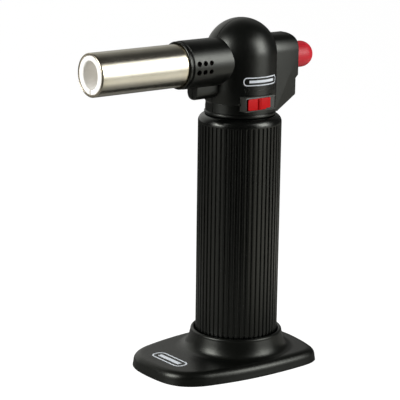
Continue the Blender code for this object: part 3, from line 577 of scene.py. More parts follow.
def dense(points, step, closed=True):
    """The same path with points no further apart than step."""
    pts = [Vector(p) for p in points]
    out = []
    for a, b in zip(pts, pts[1:] + pts[:1] if closed else pts[1:]):
        count = max(1, int(math.ceil((b - a).length / step)))
        out += [a.lerp(b, j / count) for j in range(count)]
    return out if closed else out + [pts[-1]]


def arc(centre_a, centre_b, radius, start, end, count):
    """Points on an arc between two angles in degrees."""
    angles = [start + (end - start) * i / count for i in range(count + 1)]
    return [(centre_a + radius * cosd(a), centre_b + radius * sind(a)) for a in angles]


# ------------------------------------------------------------------ bmesh shapes, mm
def shell_grid(rows, wrap_rows=False, start_pole=None, end_pole=None):
    """Faces between closed rings of points; each row has the same count."""
    bm = bmesh.new()
    rings = [[bm.verts.new(p) for p in row] for row in rows]
    pairs = list(zip(rings, rings[1:]))
    if wrap_rows:
        pairs.append((rings[-1], rings[0]))
    n = len(rings[0])
    for a, b in pairs:
        for i in range(n):
            bm.faces.new((a[i], a[(i + 1) % n], b[(i + 1) % n], b[i]))
    for pole, ring in ((start_pole, rings[0]), (end_pole, rings[-1])):
        if pole is not None:
            tip = bm.verts.new(pole)
            for i in range(n):
                bm.faces.new((ring[i], ring[(i + 1) % n], tip))
    return bm


def turned(profile, steps, axis="Z", centre=(0.0, 0.0), closed=True, phase=0.0):
    """Turns a profile of (radius, height). One that is not closed starts and ends on the axis.

    phase shifts the vertices round the axis, in steps.
    """
    def at(radius, height, angle):
        u = centre[0] + radius * math.cos(angle)
        v = centre[1] + radius * math.sin(angle)
        return {"X": (height, u, v), "Y": (u, height, v), "Z": (u, v, height)}[axis]

    angles = [2 * math.pi * (i + phase) / steps for i in range(steps)]
    stations = profile if closed else profile[1:-1]
    rows = [[at(r, h, a) for a in angles] for r, h in stations]
    if closed:
        return shell_grid(rows, wrap_rows=True)
    return shell_grid(rows, False, at(0, profile[0][1], 0), at(0, profile[-1][1], 0))


def rod(radius, low, high, steps, axis="Z", centre=(0, 0), phase=0.0):
    profile = [(0, low), (radius, low), (radius, high), (0, high)]
    return turned(profile, steps, axis, centre, closed=False, phase=phase)


def prism(outline, low, high, plane="XZ"):
    """An outline in a plane, extruded from low to high along the third axis."""
    bm = bmesh.new()
    put = {
        "XZ": lambda a, b, c: (a, c, b),
        "YZ": lambda a, b, c: (c, a, b),
        "XY": lambda a, b, c: (a, b, c),
    }[plane]
    face = bm.faces.new([bm.verts.new(put(a, b, low)) for a, b in outline])
    grown = bmesh.ops.extrude_face_region(bm, geom=[face])
    moved = [item for item in grown["geom"] if isinstance(item, bmesh.types.BMVert)]
    bmesh.ops.translate(bm, verts=moved, vec=Vector(put(0, 0, high - low)))
    return bm


def block(x, y, z):
    """A box from (low, high) pairs."""
    return prism([(x[0], z[0]), (x[1], z[0]), (x[1], z[1]), (x[0], z[1])], y[0], y[1])


def ribbon(path, width, thick, closed=True):
    """A flat band along 2-D points, as a closed solid in (u, v, thickness)."""
    base = -0.05
    pts = [Vector(p) for p in path]
    n = len(pts)
    bm = bmesh.new()
    sections = []
    for i, p in enumerate(pts):
        if closed:
            along = (pts[(i + 1) % n] - pts[i - 1]).normalized()
        else:
            along = (pts[min(i + 1, n - 1)] - pts[max(i - 1, 0)]).normalized()
        side = Vector((along.y, -along.x)) * (width / 2)
        corners = ((p + side, base), (p - side, base), (p - side, thick), (p + side, thick))
        sections.append([bm.verts.new((*flat, height)) for flat, height in corners])
    for i in range(n if closed else n - 1):
        a, b = sections[i], sections[(i + 1) % n]
        for k in range(4):
            bm.faces.new((a[k], a[(k + 1) % 4], b[(k + 1) % 4], b[k]))
    if not closed:
        bm.faces.new(sections[0])
        bm.faces.new(list(reversed(sections[-1])))
    return bm


def shift(bm, offset):
    bmesh.ops.translate(bm, verts=bm.verts, vec=offset)
    return bm


def join(*parts):
    out = bmesh.new()
    for part in parts:
        outward(part)
        mesh = bpy.data.meshes.new("join")
        part.to_mesh(mesh)
        part.free()
        out.from_mesh(mesh)
        bpy.data.meshes.remove(mesh)
    return out


# ------------------------------------------------------------------ stand
STAND_OUTLINE = [  # x, y of the +Y half, from front to rear
    (-58.9, 0.0), (-58.6, 7.5), (-57.8, 13.3), (-56.0, 18.3), (-53.4, 22.3), (-49.6, 25.6),
    (-44.2, 28.4), (-37.0, 30.4), (-25.0, 32.8), (-12.0, 34.3), (1.0, 34.8), (14.0, 34.5),
    (23.0, 33.8), (28.0, 32.6), (31.8, 30.3), (34.2, 26.6), (35.8, 21.5), (37.6, 12.5),
    (38.8, 0.0),
]
SOCKET_R = 22.7
SOCKET_FLOOR = 8.6
STAND_COLLAR_R = 24.95
FLARE_R = 30.4  # where the collar's flare meets the plate
STAND_ROOF = 5.0  # underside of the plate
STAND_RIBS = (  # x range, y range
    ((-57.2, -8.6), (-0.8, 0.8)),
    ((8.6, 37.2), (-0.8, 0.8)),
    ((-0.8, 0.8), (-33.3, -8.6)),
    ((-0.8, 0.8), (8.6, 33.3)),
)


def build_stand():
    """A plate with a round socket, hollow below, with a central boss and four ribs."""
    mirrored = [(x, -y) for x, y in reversed(STAND_OUTLINE[1:-1])]
    edge = spline(STAND_OUTLINE + mirrored, 10, closed=True)
    normals = []
    for i, p in enumerate(edge):
        along = (edge[(i + 1) % len(edge)] - edge[i - 1]).normalized()
        normal = Vector((along.y, -along.x))
        normals.append(normal if normal.dot(p) > 0 else -normal)
    angles = [math.atan2(p.y, p.x) for p in edge]

    def circle(radius, z):
        return [(radius * math.cos(a), radius * math.sin(a), z) for a in angles]

    def inset(depth, z):
        return [(p.x - q.x * depth, p.y - q.y * depth, z) for p, q in zip(edge, normals)]

    def between(radius, depth, share, z):
        """Part of the way from a circle to the inset outline."""
        return [
            ((1 - share) * radius * math.cos(a) + share * (p.x - q.x * depth),
             (1 - share) * radius * math.sin(a) + share * (p.y - q.y * depth), z)
            for a, p, q in zip(angles, edge, normals)
        ]

    lip_centre = (SOCKET_R + STAND_COLLAR_R) / 2
    lip_r = (STAND_COLLAR_R - SOCKET_R) / 2
    lip_z = STAND_COLLAR_Z - lip_r
    # socket floor and wall, then over the lip
    rows = [circle(radius, SOCKET_FLOOR) for radius in (6, 14, 20)]
    rows += [circle(r, z) for r, z in arc(SOCKET_R - 0.5, SOCKET_FLOOR + 0.5, 0.5, -90, 0, 4)]
    rows += [circle(SOCKET_R, z) for z in (11.0, 13.5, lip_z - 0.6)]
    rows += [circle(r, z) for r, z in arc(lip_centre, lip_z, lip_r, 180, 0, 12)]
    flare = spline([
        (STAND_COLLAR_R, lip_z - 0.3), (25.3, 14.6), (25.85, 12.4), (26.45, 10.6),
        (27.25, 9.05), (28.5, 7.85), (FLARE_R, STAND_TOP + 0.02),
    ], 5)
    rows += [circle(p.x, p.y) for p in flare]
    rows += [between(FLARE_R, 4.9, share, STAND_TOP) for share in (0.2, 0.45, 0.7, 0.9)]
    for k in range(9):  # rounded shoulder of the plate, a little wider than it is high
        turn = math.radians(90 - 90 * k / 8)
        rows.append(inset(4.75 - 4.25 * math.cos(turn), STAND_TOP - 4.0 + 4.0 * math.sin(turn)))
    # outer foot, then up the inner side of the skirt
    rows += [inset(depth, z) for depth, z in (
        (0.3, 1.9), (0.1, 0.7), (0.05, 0.3), (0.3, 0.0), (2.2, 0.0), (2.6, 0.35),
        (2.75, 2.0), (3.2, 3.4), (4.2, 4.4), (5.6, STAND_ROOF),
    )]
    rows += [between(11.0, 5.6, share, STAND_ROOF) for share in (0.75, 0.5, 0.25, 0.08)]
    rows += [circle(radius, z) for radius, z in (  # central boss
        (10.0, 4.9), (9.3, 4.5), (9.05, 3.8), (9.0, 0.4), (8.6, 0.0), (4.0, 0.0),
    )]
    stand = solid("stand_skin", shell_grid(rows, False, (0, 0, SOCKET_FLOOR), (0, 0, 0)))
    for x_range, y_range in STAND_RIBS:
        fuse(stand, block(x_range, y_range, (1.2, 5.6)))
    settle(stand, M["stand"], "stand", ("base_stand",), "black_plastic", 38)


build_stand()


# ------------------------------------------------------------------ fluted sleeve
FLUTES = 50
FLUTE_DEPTH = 0.72
FLUTE_PHASE = 1.35  # degrees
FLUTE_TOP = 131.55
FLUTE_SECTION = [  # place within one pitch, share of the depth
    (-0.5, 1.0), (-0.43, 1.0), (-0.375, 0.97), (-0.345, 0.76), (-0.315, 0.42), (-0.28, 0.17),
    (-0.235, 0.045), (-0.17, 0.0), (0.0, 0.0), (0.17, 0.0), (0.235, 0.045), (0.28, 0.17),
    (0.315, 0.42), (0.345, 0.76), (0.375, 0.97), (0.43, 1.0),
]
SHOULDER_CORNER = 4.1
NECK_BORE_R = 9.4
SLEEVE_BORE_R = 20.0
SLEEVE_CEILING = 133.3


def build_sleeve():
    columns = [
        (2 * math.pi * ((k + u) / FLUTES) + math.radians(FLUTE_PHASE), share)
        for k in range(FLUTES) for u, share in FLUTE_SECTION
    ]
    stations = [  # radius, z, share of the flute depth
        (HANDLE_R - 0.6, HANDLE_FOOT, 0.6),
        (HANDLE_R - 0.12, HANDLE_FOOT + 0.35, 1.0),
        (HANDLE_R, HANDLE_FOOT + 0.8, 1.0),
    ]
    flute_z = (17.0, 18.0, 40.0, 70.0, 100.0, 120.0, FLUTE_TOP - 1.0, FLUTE_TOP - 0.35)
    stations += [(HANDLE_R, z, 1.0) for z in flute_z]
    stations += [
        (HANDLE_R, FLUTE_TOP - 0.12, 0.94), (HANDLE_R, FLUTE_TOP, 0.55),
        (HANDLE_R, FLUTE_TOP + 0.1, 0.12), (HANDLE_R, FLUTE_TOP + 0.2, 0.0),
    ]
    shoulder = arc(HANDLE_R - SHOULDER_CORNER, SHOULDER_Z - SHOULDER_CORNER,
                   SHOULDER_CORNER, 0, 90, 14)
    bore = [
        (14.0, SHOULDER_Z), (NECK_BORE_R + 0.3, SHOULDER_Z),
        (NECK_BORE_R, SHOULDER_Z - 0.3), (NECK_BORE_R, SLEEVE_CEILING + 0.3),
        (NECK_BORE_R + 0.3, SLEEVE_CEILING), (SLEEVE_BORE_R - 1.0, SLEEVE_CEILING),
        (SLEEVE_BORE_R, SLEEVE_CEILING - 1.0), (SLEEVE_BORE_R, 70.0),
        (SLEEVE_BORE_R, HANDLE_FOOT + 0.4), (SLEEVE_BORE_R + 0.4, HANDLE_FOOT),
    ]
    stations += [(radius, z, 0.0) for radius, z in shoulder + bore]
    rows = []
    for radius, z, depth_share in stations:
        radii = [radius - depth_share * share * FLUTE_DEPTH for _, share in columns]
        rows.append([(r * math.cos(a), r * math.sin(a), z) for r, (a, _) in zip(radii, columns)])
    place("handle_fluted_sleeve", shell_grid(rows, wrap_rows=True),
          M["sleeve"], "torch", ("handle_sleeve",), "black_plastic", 40)


build_sleeve()


# ------------------------------------------------------------------ head shells
SEAM = 0.1  # half the gap between the two shells
NECK_LINE = 143.6
NECK_R = 19.0
LUG_X = (-32.0, -17.5)  # lug under the holder
LUG_FOOT = 146.4
LUG_R = 4.25
HOUSING_R = 9.5  # housing at the rear, round the button
HOUSING_TOP = 177.7
HOUSING_CORNER = 4.6
HOUSING_WAIST_X = 30.2
REAR_STEP_Z = 154.6
ROOM_R = 17.0
POST_R = 2.4
FIT = 0.3  # gap round the tube and the button
AIR_HOLES = ((-36.9, 1.3), (-33.0, 1.2), (-29.1, 1.12))  # x, radius
AIR_DROP = 0.35  # the two rows are centred this far below the burner axis
AIR_ROW = 2.4  # height of each row from their centre
BEZEL_GAP = 0.12


def head_outside():
    """The round head with the burner holder, the lug below it and the rear housing."""
    profile = [(0, HEAD_FOOT), (18.3, HEAD_FOOT)]
    profile += arc(18.45, HEAD_FOOT + 0.55, 0.6, -80, 0, 4)
    profile += [
        (19.08, 137.9), (18.98, 138.08), (18.52, 138.16), (18.44, 138.3), (18.48, 138.5),
        (18.6, 138.66), (18.6, NECK_LINE - 0.4), (18.5, NECK_LINE - 0.28), (18.46, NECK_LINE),
        (18.55, NECK_LINE + 0.06), (18.92, NECK_LINE + 0.14), (NECK_R, NECK_LINE + 0.3),
        (NECK_R, 152.0), (NECK_R, 160.0),
    ]
    profile += arc(0, DOME_Z, HEAD_R, 0, 90, 40)
    profile[-1] = (0, DOME_Z + HEAD_R)
    head = solid("head_outer", turned(profile, 160, closed=False, phase=0.5))

    step = HOLDER_X + 0.35
    holder = [(0, HOLDER_X), (12.05, HOLDER_X), (12.05, step)]
    holder += [(HOLDER_R - 0.3 + 0.3 * sind(a), step + 0.3 - 0.3 * cosd(a))
               for a in (0, 22, 45, 67, 90)]
    holder += [(HOLDER_R, -30.0), (HOLDER_R, -20.0), (HOLDER_R, -6.0), (0, -6.0)]
    fuse(head, turned(holder, 120, "X", (0, BURNER_Z), closed=False, phase=0.5))

    lug_top = 158.0
    section = [(LUG_R, lug_top), (-LUG_R, lug_top)]
    section += arc(0, LUG_FOOT + LUG_R, LUG_R, 180, 360, 36)
    lug = solid("lug", prism(section, *LUG_X, "YZ"))
    front, rear = LUG_X
    lug_side = [(front, lug_top), (front, LUG_FOOT), (rear, LUG_FOOT), (rear, lug_top)]
    trim(lug, prism(rounded(lug_side, [0, 0.9, 4.2, 0], 10), -9, 9))
    fuse(head, bevel(lug, 0.35, 3, 40))

    section = [(HOUSING_R, 128.0)]
    section += arc(0, HOUSING_TOP - HOUSING_R, HOUSING_R, 0, 180, 40)
    section += [(-HOUSING_R, 128.0)]
    side = [
        (2, HEAD_FOOT + 0.3), (17.8, HEAD_FOOT + 0.3), (HOUSING_WAIST_X, 144.9),
        (HOUSING_WAIST_X, REAR_STEP_Z - 1.0), (REAR_X, REAR_STEP_Z + 0.7),
        (REAR_X, HOUSING_TOP), (2, HOUSING_TOP),
    ]
    housing = solid("housing", prism(section, 3, 45, "YZ"))
    trim(housing, prism(rounded(side, [0, 0.6, 0.8, 0.5, 0.5, HOUSING_CORNER, 0], 10), -20, 20))
    fuse(head, bevel(housing, 0.45, 3, 42))
    return head


def head_room():
    """The room for the works, leaving the screw posts and a cross wall."""
    profile = [(0, 139.5), (ROOM_R - 0.4, 139.5), (ROOM_R, 139.9)]
    profile += arc(0, DOME_Z, ROOM_R, 0, 90, 12)
    profile[-1] = (0, DOME_Z + ROOM_R)
    room = solid("space", turned(profile, 64, closed=False, phase=0.5))
    burner, button = (0, BURNER_Z), (0, BUTTON_Z)
    lower_rear = [(11, 140.4), (18.4, 140.4), (28.2, 147.0), (28.2, 157.5), (11, 157.5)]
    fuse(room, rod(8.5, 9, 29.8, 48, "X", button, 0.5))
    fuse(room, prism(lower_rear, -7.6, 7.6))
    fuse(room, rod(9.0, -25, -12, 48, "X", burner, 0.5))
    fuse(room, rod(TUBE_R + FIT, -45, TUBE_END_X + 0.4, 96, "X", burner, 0.5))
    fuse(room, rod(NECK_BORE_R, 130, 141, 48, phase=0.5))
    fuse(room, rod(BUTTON_R + FIT, 28, 40, 64, "X", button, 0.5))
    for x, z, seat in SCREWS[1:]:
        wide = seat - 1.8
        post = [(0, -24), (POST_R, -24), (POST_R, wide), (3.7, wide), (3.7, 24), (0, 24)]
        cut(room, turned(post, 28, "Y", (x, z), closed=False, phase=0.3))
    wall = solid("cradle", block((6.0, 7.6), (-20, 20), (155.5, 173.5)))
    cut(wall, block((5, 9), (-4.9, 4.9), (158.6, 170.4)))
    cut(room, wall)
    return room


def cut_air_holes(head):
    """Holes right through the holder with a small countersink on both sides."""
    holes = []
    for x, radius in AIR_HOLES:
        for row in (-AIR_ROW, AIR_ROW):
            face = math.sqrt(HOLDER_R ** 2 - (row - AIR_DROP) ** 2)
            profile = [
                (0, -face - 0.4), (radius + 0.42, -face - 0.4), (radius, -face + 0.28),
                (radius, face - 0.28), (radius + 0.42, face + 0.4), (0, face + 0.4),
            ]
            centre = (x, BURNER_Z - AIR_DROP + row)
            holes.append(turned(profile, 32, "Y", centre, closed=False))
    cut(head, join(*holes))


def cut_groove(head, points):
    """A V-groove along x, z points in the joint plane, with the outside on their left."""
    half_width, depth, clear = 0.42, 0.42, 0.25
    pts = dense(points, 1.2, closed=False)
    bm = bmesh.new()
    rows = []
    for i, p in enumerate(pts):
        along = (pts[min(i + 1, len(pts) - 1)] - pts[max(i - 1, 0)]).normalized()
        out = Vector((-along.y, along.x))
        low, high = p - out * depth, p + out * clear
        corners = ((low, 0), (high, half_width), (high, -half_width))
        rows.append([bm.verts.new((corner.x, y, corner.y)) for corner, y in corners])
    for a, b in zip(rows, rows[1:]):
        for k in range(3):
            bm.faces.new((a[k], a[(k + 1) % 3], b[(k + 1) % 3], b[k]))
    bm.faces.new(rows[0])
    bm.faces.new(list(reversed(rows[-1])))
    cut(head, bm)


def cut_joint_grooves(head):
    """The groove along the joint of the shells, in pieces that never cross themselves."""
    holder_top = BURNER_Z + HOLDER_R
    dome_start = math.degrees(math.asin((holder_top - DOME_Z) / HEAD_R))
    front, rear = LUG_X
    corner = arc(REAR_X - HOUSING_CORNER, HOUSING_TOP - HOUSING_CORNER, HOUSING_CORNER, 88, 0, 8)
    for points in (
        arc(0, DOME_Z, HEAD_R, 180 - dome_start, 30, 30),
        [(-39.6, holder_top), (-16.5, holder_top)],
        [(17.0, HOUSING_TOP), (27.2, HOUSING_TOP)] + corner + [(REAR_X, BUTTON_Z + 8)],
        [(REAR_X, BUTTON_Z - 8), (REAR_X, REAR_STEP_Z + 1.0)],
        [(HOUSING_WAIST_X, REAR_STEP_Z - 1.6), (HOUSING_WAIST_X, 145.3)],
        [(29.8, 144.6), (19.6, 137.9)],
        [(-18.6, HEAD_FOOT - 0.5), (-18.6, NECK_LINE)],
        [(-NECK_R, NECK_LINE), (-NECK_R, LUG_FOOT + 0.2)],
        [(-21.7, LUG_FOOT), (-31.0, LUG_FOOT)],
        [(front, LUG_FOOT + 1.0), (front, 153.2)],
    ):
        cut_groove(head, points)


def half_head(head, name, y_range):
    half = bpy.data.objects.new(name, head.data.copy())
    scene.collection.objects.link(half)
    trim(half, block((-80, 80), y_range, (100, 220)))
    return half


def build_head():
    head = head_outside()
    cut(head, head_room())
    cut_air_holes(head)
    cut_joint_grooves(head)
    thread_r, screw_head_r = 1.4, 2.45

    near = half_head(head, "head_shell_near", (-60, -SEAM))
    cut(near, block((BEZEL_FRONT - BEZEL_GAP, bezel_high.x + 0.45), (-30, -13.5),
                    (bezel_low.z - BEZEL_GAP, bezel_high.z + BEZEL_GAP)))
    cut(near, join(*[rod(thread_r, -5.2 if i else -3.6, 2, 20, "Y", (x, z))
                     for i, (x, z, _) in enumerate(SCREWS)]))
    settle(near, M["body"], "torch", ("head_shell_left",), "black_plastic", 32)

    far = half_head(head, "head_shell_far", (SEAM, 60))
    cut(far, join(*[rod(screw_head_r, seat, 30, 36, "Y", (x, z)) for x, z, seat in SCREWS]))
    cut(far, join(*[rod(thread_r, -2, seat + 0.5, 20, "Y", (x, z)) for x, z, seat in SCREWS]))
    settle(far, M["body"], "torch", ("head_shell_right",), "black_plastic", 32)
    bpy.data.objects.remove(head, do_unlink=True)


build_head()

# ------------------------------------------------------------------ burner
TUBE_WALL = 0.65
RIM_R = 10.45  # crest of the rolled rim
RING_R = 12.45
RING_REAR_R = 12.02
LINER_R = 9.85
LINER_BORE_R = 7.2


def build_tube():
    """A thin tube with a rolled rim at the mouth and a slot through both sides."""
    bore_r = TUBE_R - TUBE_WALL
    profile = [(bore_r, MOUTH_X + 2.6), (bore_r - 0.2, MOUTH_X + 2.0), (10.1, MOUTH_X + 1.3)]
    profile += [(RIM_R - 0.35 * cosd(a), MOUTH_X + 0.55 - 0.55 * sind(a))
                for a in range(0, 91, 15)]
    profile += [(RIM_R + 0.77 * sind(a), MOUTH_X + 0.95 - 0.95 * cosd(a))
                for a in range(10, 91, 10)]
    profile += [(TUBE_R + 0.01, MOUTH_X + 1.4), (TUBE_R, MOUTH_X + 1.9)]
    profile += [(TUBE_R, x) for x in (-90.0, -80.0, -60.0, -45.0, -42.0, -30.0, TUBE_END_X)]
    profile += [(bore_r, x) for x in (TUBE_END_X, -50.0, -80.0)]
    tube = solid("burner_tube_polished", turned(profile, 144, "X", (0, BURNER_Z), phase=0.5))
    cut(tube, block((-38.8, -28.5), (-20, 20), (BURNER_Z - 4.2, BURNER_Z + 4.2)))
    settle(tube, M["steel"], "torch", ("burner_tube",), "polished_steel", 35)


def build_front_ring():
    front, rear = collar_low.x, collar_high.x
    bore_r = TUBE_R + 0.2
    corner = 0.45
    profile = [(bore_r, front + 0.35), (TUBE_R + 0.32, front + 0.06), (TUBE_R + 0.45, front),
               (RING_R - corner, front)]
    profile += [(RING_R - corner + corner * sind(a), front + corner - corner * cosd(a))
                for a in (15, 30, 45, 60, 75, 90)]
    profile += [(RING_R, front + 1.15), (12.38, front + 1.3), (12.1, front + 1.4),
                (RING_REAR_R, front + 1.5), (RING_REAR_R, rear), (bore_r, rear)]
    place("burner_front_ring", turned(profile, 144, "X", (0, BURNER_Z), phase=0.5),
          M["collar"], "torch", ("burner_collar",), "black_plastic", 30)


def build_liner():
    """A ceramic ring with a slightly oval bore and a short slit at the bottom front."""
    front, rear = liner_low.x, liner_high.x
    corners = [(LINER_BORE_R, front), (LINER_R, front), (LINER_R, rear), (LINER_BORE_R, rear)]
    profile = rounded(corners, [0.6, 0.3, 0.2, 0.3], 6)
    ring = turned(profile, 112, "X", (0, BURNER_Z))
    for v in ring.verts:
        radius = math.hypot(v.co.y, v.co.z - BURNER_Z)
        depth = max(0.0, min(1.0, (LINER_R - radius) / (LINER_R - LINER_BORE_R)))
        v.co.y *= 1.0 - 0.13 * depth
    liner = solid("ceramic_burner_liner", ring)
    cut(liner, block((front - 1, front + 2.6), (-0.36, 0.36), (BURNER_Z - 11, BURNER_Z - 6)))
    settle(liner, M["ceramic"], "torch", ("ceramic_liner",), "white_ceramic", 30)


build_tube()
build_front_ring()
build_liner()


# ------------------------------------------------------------------ igniter button
def build_button():
    """A round-nosed plunger with a flange and a stem inside its hollow foot."""
    nose = BUTTON_TIP - BUTTON_R
    profile = [  # radius, x
        (0, 29.1), (2.2, 29.1), (2.2, 41.2), (4.9, 41.2), (5.6, 40.4), (5.6, 28.1),
        (5.8, 27.9), (7.9, 27.9), (8.1, 28.1), (8.1, 29.3), (7.9, 29.5), (7.3, 29.5),
        (BUTTON_R, 29.7), (BUTTON_R, 33.0), (BUTTON_R, 37.0),
    ]
    profile += [(BUTTON_R * cosd(a), nose + BUTTON_R * sind(a)) for a in range(0, 90, 5)]
    profile += [(0, BUTTON_TIP)]
    place("igniter_push_button",
          turned(profile, 96, "X", (0, BUTTON_Z), closed=False, phase=0.5),
          M["red_button"], "igniter", ("igniter_button",), "red_plastic", 40)


build_button()

# ------------------------------------------------------------------ gas slider and its bezel
SLIDER_Z = (141.45, 147.55)
SLIDER_X = (-10.75, 4.15)
SLIDER_FACE_Y = -20.25
SLIDER_BACK_Y = -19.25


def build_bezel():
    front, rear = BEZEL_FRONT, bezel_high.x
    low, high = bezel_low.z, bezel_high.z
    face, back = bezel_low.y, bezel_high.y
    section = [(face, low), (back, low), (back, high), (face + 0.43, high), (face, high - 0.75)]
    bezel = solid("slider_bezel_frame", prism(section, front, rear, "YZ"))
    bevel(bezel, 0.2, 3)
    window = (low + 0.6, high - 0.8)
    cut(bezel, block((front + 0.3, rear + 1), (-22.0, -19.12), window))
    cut(bezel, block((front + 0.3, -10.2), (-22.0, -17.95), window))
    cut(bezel, block((front + 0.5, rear - 0.5), (-17.7, -14.0), window))
    cut(bezel, block((-3.7, 3.7), (-19.5, -17.0), (142.9, 145.5)))
    settle(bezel, M["bezel"], "torch", ("slider_bezel",), "bezel_plastic", 30)


def build_slider():
    """A cap with two grooves and a ridge outside, and a stem with a forked plate inside."""
    low, high = SLIDER_Z
    front, rear = SLIDER_X
    face, back = SLIDER_FACE_Y, SLIDER_BACK_Y
    wedge = [(front, back), (front, face + 0.15), (rear, face), (rear, back)]
    cap = solid("gas_slider_cap", prism(wedge, low, high, "XY"))
    outline = [(front, low), (1.2, low), (1.2, low + 0.6), (rear, low + 0.6), (rear, high),
               (front, high)]
    trim(cap, prism(rounded(outline, [1.1, 0.3, 0.0, 0.6, 0.6, 1.1], 6), -21.5, -19.0))
    bevel(cap, 0.3, 4, 50)
    for x, half in ((-4.2, 0.22), (-2.4, 0.3)):  # one groove on each side of the ridge
        groove = [(x - half, face - 0.3), (x + half, face - 0.3),
                  (x + half / 2, face + 0.35), (x - half / 2, face + 0.35)]
        cut(cap, prism(groove, low - 1, high + 1, "XY"))
    section = [(-4.0, -19.5), (-3.95, -20.2), (-3.6, SLIDER_CREST_Y), (-2.95, SLIDER_CREST_Y),
               (-2.7, -20.2), (-2.65, -19.5)]
    ridge = solid("ridge", prism(section, low + 0.15, high - 0.15, "XY"))
    fuse(cap, bevel(ridge, 0.16, 4, 25))
    fuse(cap, block((-3.3, 0.6), (-19.7, -13.6), (143.3, 145.1)))
    fuse(cap, block((-6.3, 3.6), (-14.1, -11.3), (141.0, 148.4)))
    cut(cap, block((-3.3, 0.6), (-12.9, -10.0), (142.6, 145.8)))
    settle(cap, M["red_slider"], "slider", ("flow_slider",), "red_plastic", 30)


build_bezel()
build_slider()


# ------------------------------------------------------------------ raised marks and plain badges
def wrap(bm):
    """Bends a flat piece drawn in (arc length, height, thickness) round the -Y side of the head."""
    for v in bm.verts:
        length, height, thick = v.co
        angle = length / HEAD_R
        radius = HEAD_R + thick
        v.co = (math.sin(angle) * radius, -math.cos(angle) * radius, height)
    return bm


def badge_parts(width, height, line):
    """A plain plate: a rounded frame round one solid bar."""
    thick = 0.06
    half_w, half_h = width / 2, height / 2
    corners = [(-half_w, -half_h), (half_w, -half_h), (half_w, half_h), (-half_w, half_h)]
    outline = dense(rounded(corners, height * 0.42, 8), 0.8)
    bar = width * 0.74
    middle = [(-bar / 2 + bar * i / 24, 0) for i in range(25)]
    return [ribbon(outline, line, thick), ribbon(middle, height * 0.34, thick, closed=False)]


def build_marks():
    head = [wrap(shift(part, (-0.1, 156.2, 0))) for part in badge_parts(22.0, 4.0, line=0.55)]
    place("head_badge", join(*head), M["ink"], "torch", sharp=30)

    plate = badge_parts(24.0, 7.6, line=0.85)
    for part in plate:
        part.transform(Matrix.Rotation(math.radians(-90), 4, "Z"))
        shift(part, (-45.0, 0.0, STAND_TOP))
    place("stand_badge", join(*plate), M["ink"], "stand", sharp=30)

    angles = [2 * math.pi * i / 28 for i in range(28)]
    circle = ribbon([(1.15 * math.cos(a), 1.15 * math.sin(a)) for a in angles], 0.45, 0.2)
    shift(circle, (-9.5, 151.7, 0))
    wedge = ribbon(dense([(-5.2, 151.35), (9.6, 150.5), (9.6, 152.2)], 0.7), 0.35, 0.18)
    place("flow_scale_marks", join(wrap(circle), wrap(wedge)), M["body"], "torch",
          slot="black_plastic", sharp=30)

    base = BEZEL_FRONT - 0.15
    pointer = prism([(base, 143.5), (base, 144.9), (base - 0.85, 144.2)], -15.6, -14.0)
    place("slider_pointer", pointer, M["bezel"], "torch", slot="bezel_plastic", sharp=30)


build_marks()

# ------------------------------------------------------------------ screws with cross recesses
THREAD_R = 1.1
THREAD_ROOT_R = 0.92
THREAD_PITCH = 0.62


def build_screws():
    for number, (x, z, seat) in enumerate(SCREWS, 1):
        tip = -4.8 if number > 1 else -3.2
        profile = [(0, tip), (0.45, tip + 0.25), (THREAD_R, tip + 1.3)]
        y = tip + 1.5
        while y < seat - 0.6:
            profile += [(THREAD_R, y), (THREAD_ROOT_R, y + 0.25), (THREAD_R, y + 0.5)]
            y += THREAD_PITCH
        profile += [
            (1.0, seat + 0.1), (1.1, seat + 0.3), (2.0, seat + 0.3), (2.12, seat + 0.5),
            (2.12, seat + 1.1), (1.9, seat + 1.55), (1.2, seat + 1.85), (0, seat + 1.9),
        ]
        screw = solid(f"case_screw_{number}", turned(profile, 40, "Y", (x, z), closed=False))
        for turn in (20 * number, 20 * number + 90):
            slot = block((-1.15, 1.15), (seat + 0.95, seat + 3), (-0.22, 0.22))
            slot.transform(Matrix.Rotation(math.radians(turn), 4, "Y"))
            cut(screw, shift(slot, (x, 0, z)))
        settle(screw, M["zinc"], "torch", (f"head_screw_{number}",), "steel", 35)


build_screws()


# ------------------------------------------------------------------ springs, spanning their CAD nodes
def coil(name, node, radius, wire, turns, axis, centre):
    """A spring of wire radius wire, with one tight turn at each end, spanning its CAD node along the
    axis.
    """
    def at(along, u, v):
        return (along, u, v) if axis == "X" else (u, v, along)

    corner_low, corner_high = span(node)
    low = getattr(corner_low, axis.lower()) + wire
    high = getattr(corner_high, axis.lower()) - wire
    tight = 2 * wire + 0.06  # rise of an end turn
    per_turn, sides = 24, 10
    rows = []
    for i in range((turns + 2) * per_turn + 1):
        turn = i / per_turn
        open_share = min(max((turn - 1) / turns, 0), 1)
        height = (low + tight * min(turn, 1) + (high - low - 2 * tight) * open_share
                  + tight * max(turn - turns - 1, 0))
        angle = 2 * math.pi * turn
        row = []
        for k in range(sides):
            around = 2 * math.pi * k / sides
            reach = radius + wire * math.cos(around)
            row.append(at(height + wire * math.sin(around),
                          centre[0] + reach * math.cos(angle),
                          centre[1] + reach * math.sin(angle)))
        rows.append(row)
    ends = [tuple(sum(p[i] for p in row) / sides for i in range(3)) for row in (rows[0], rows[-1])]
    spring = place(name, shell_grid(rows, False, *ends),
                   M["plain_steel"], "torch", (node,), "steel", 50)
    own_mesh(spring)


coil("igniter_return_spring", "piezo_spring", radius=4.6, wire=0.42, turns=6, axis="X",
     centre=(0, BUTTON_Z))
coil("refill_stem_spring", "fill_valve_spring", radius=1.8, wire=0.28, turns=4, axis="Z",
     centre=(0, 0))

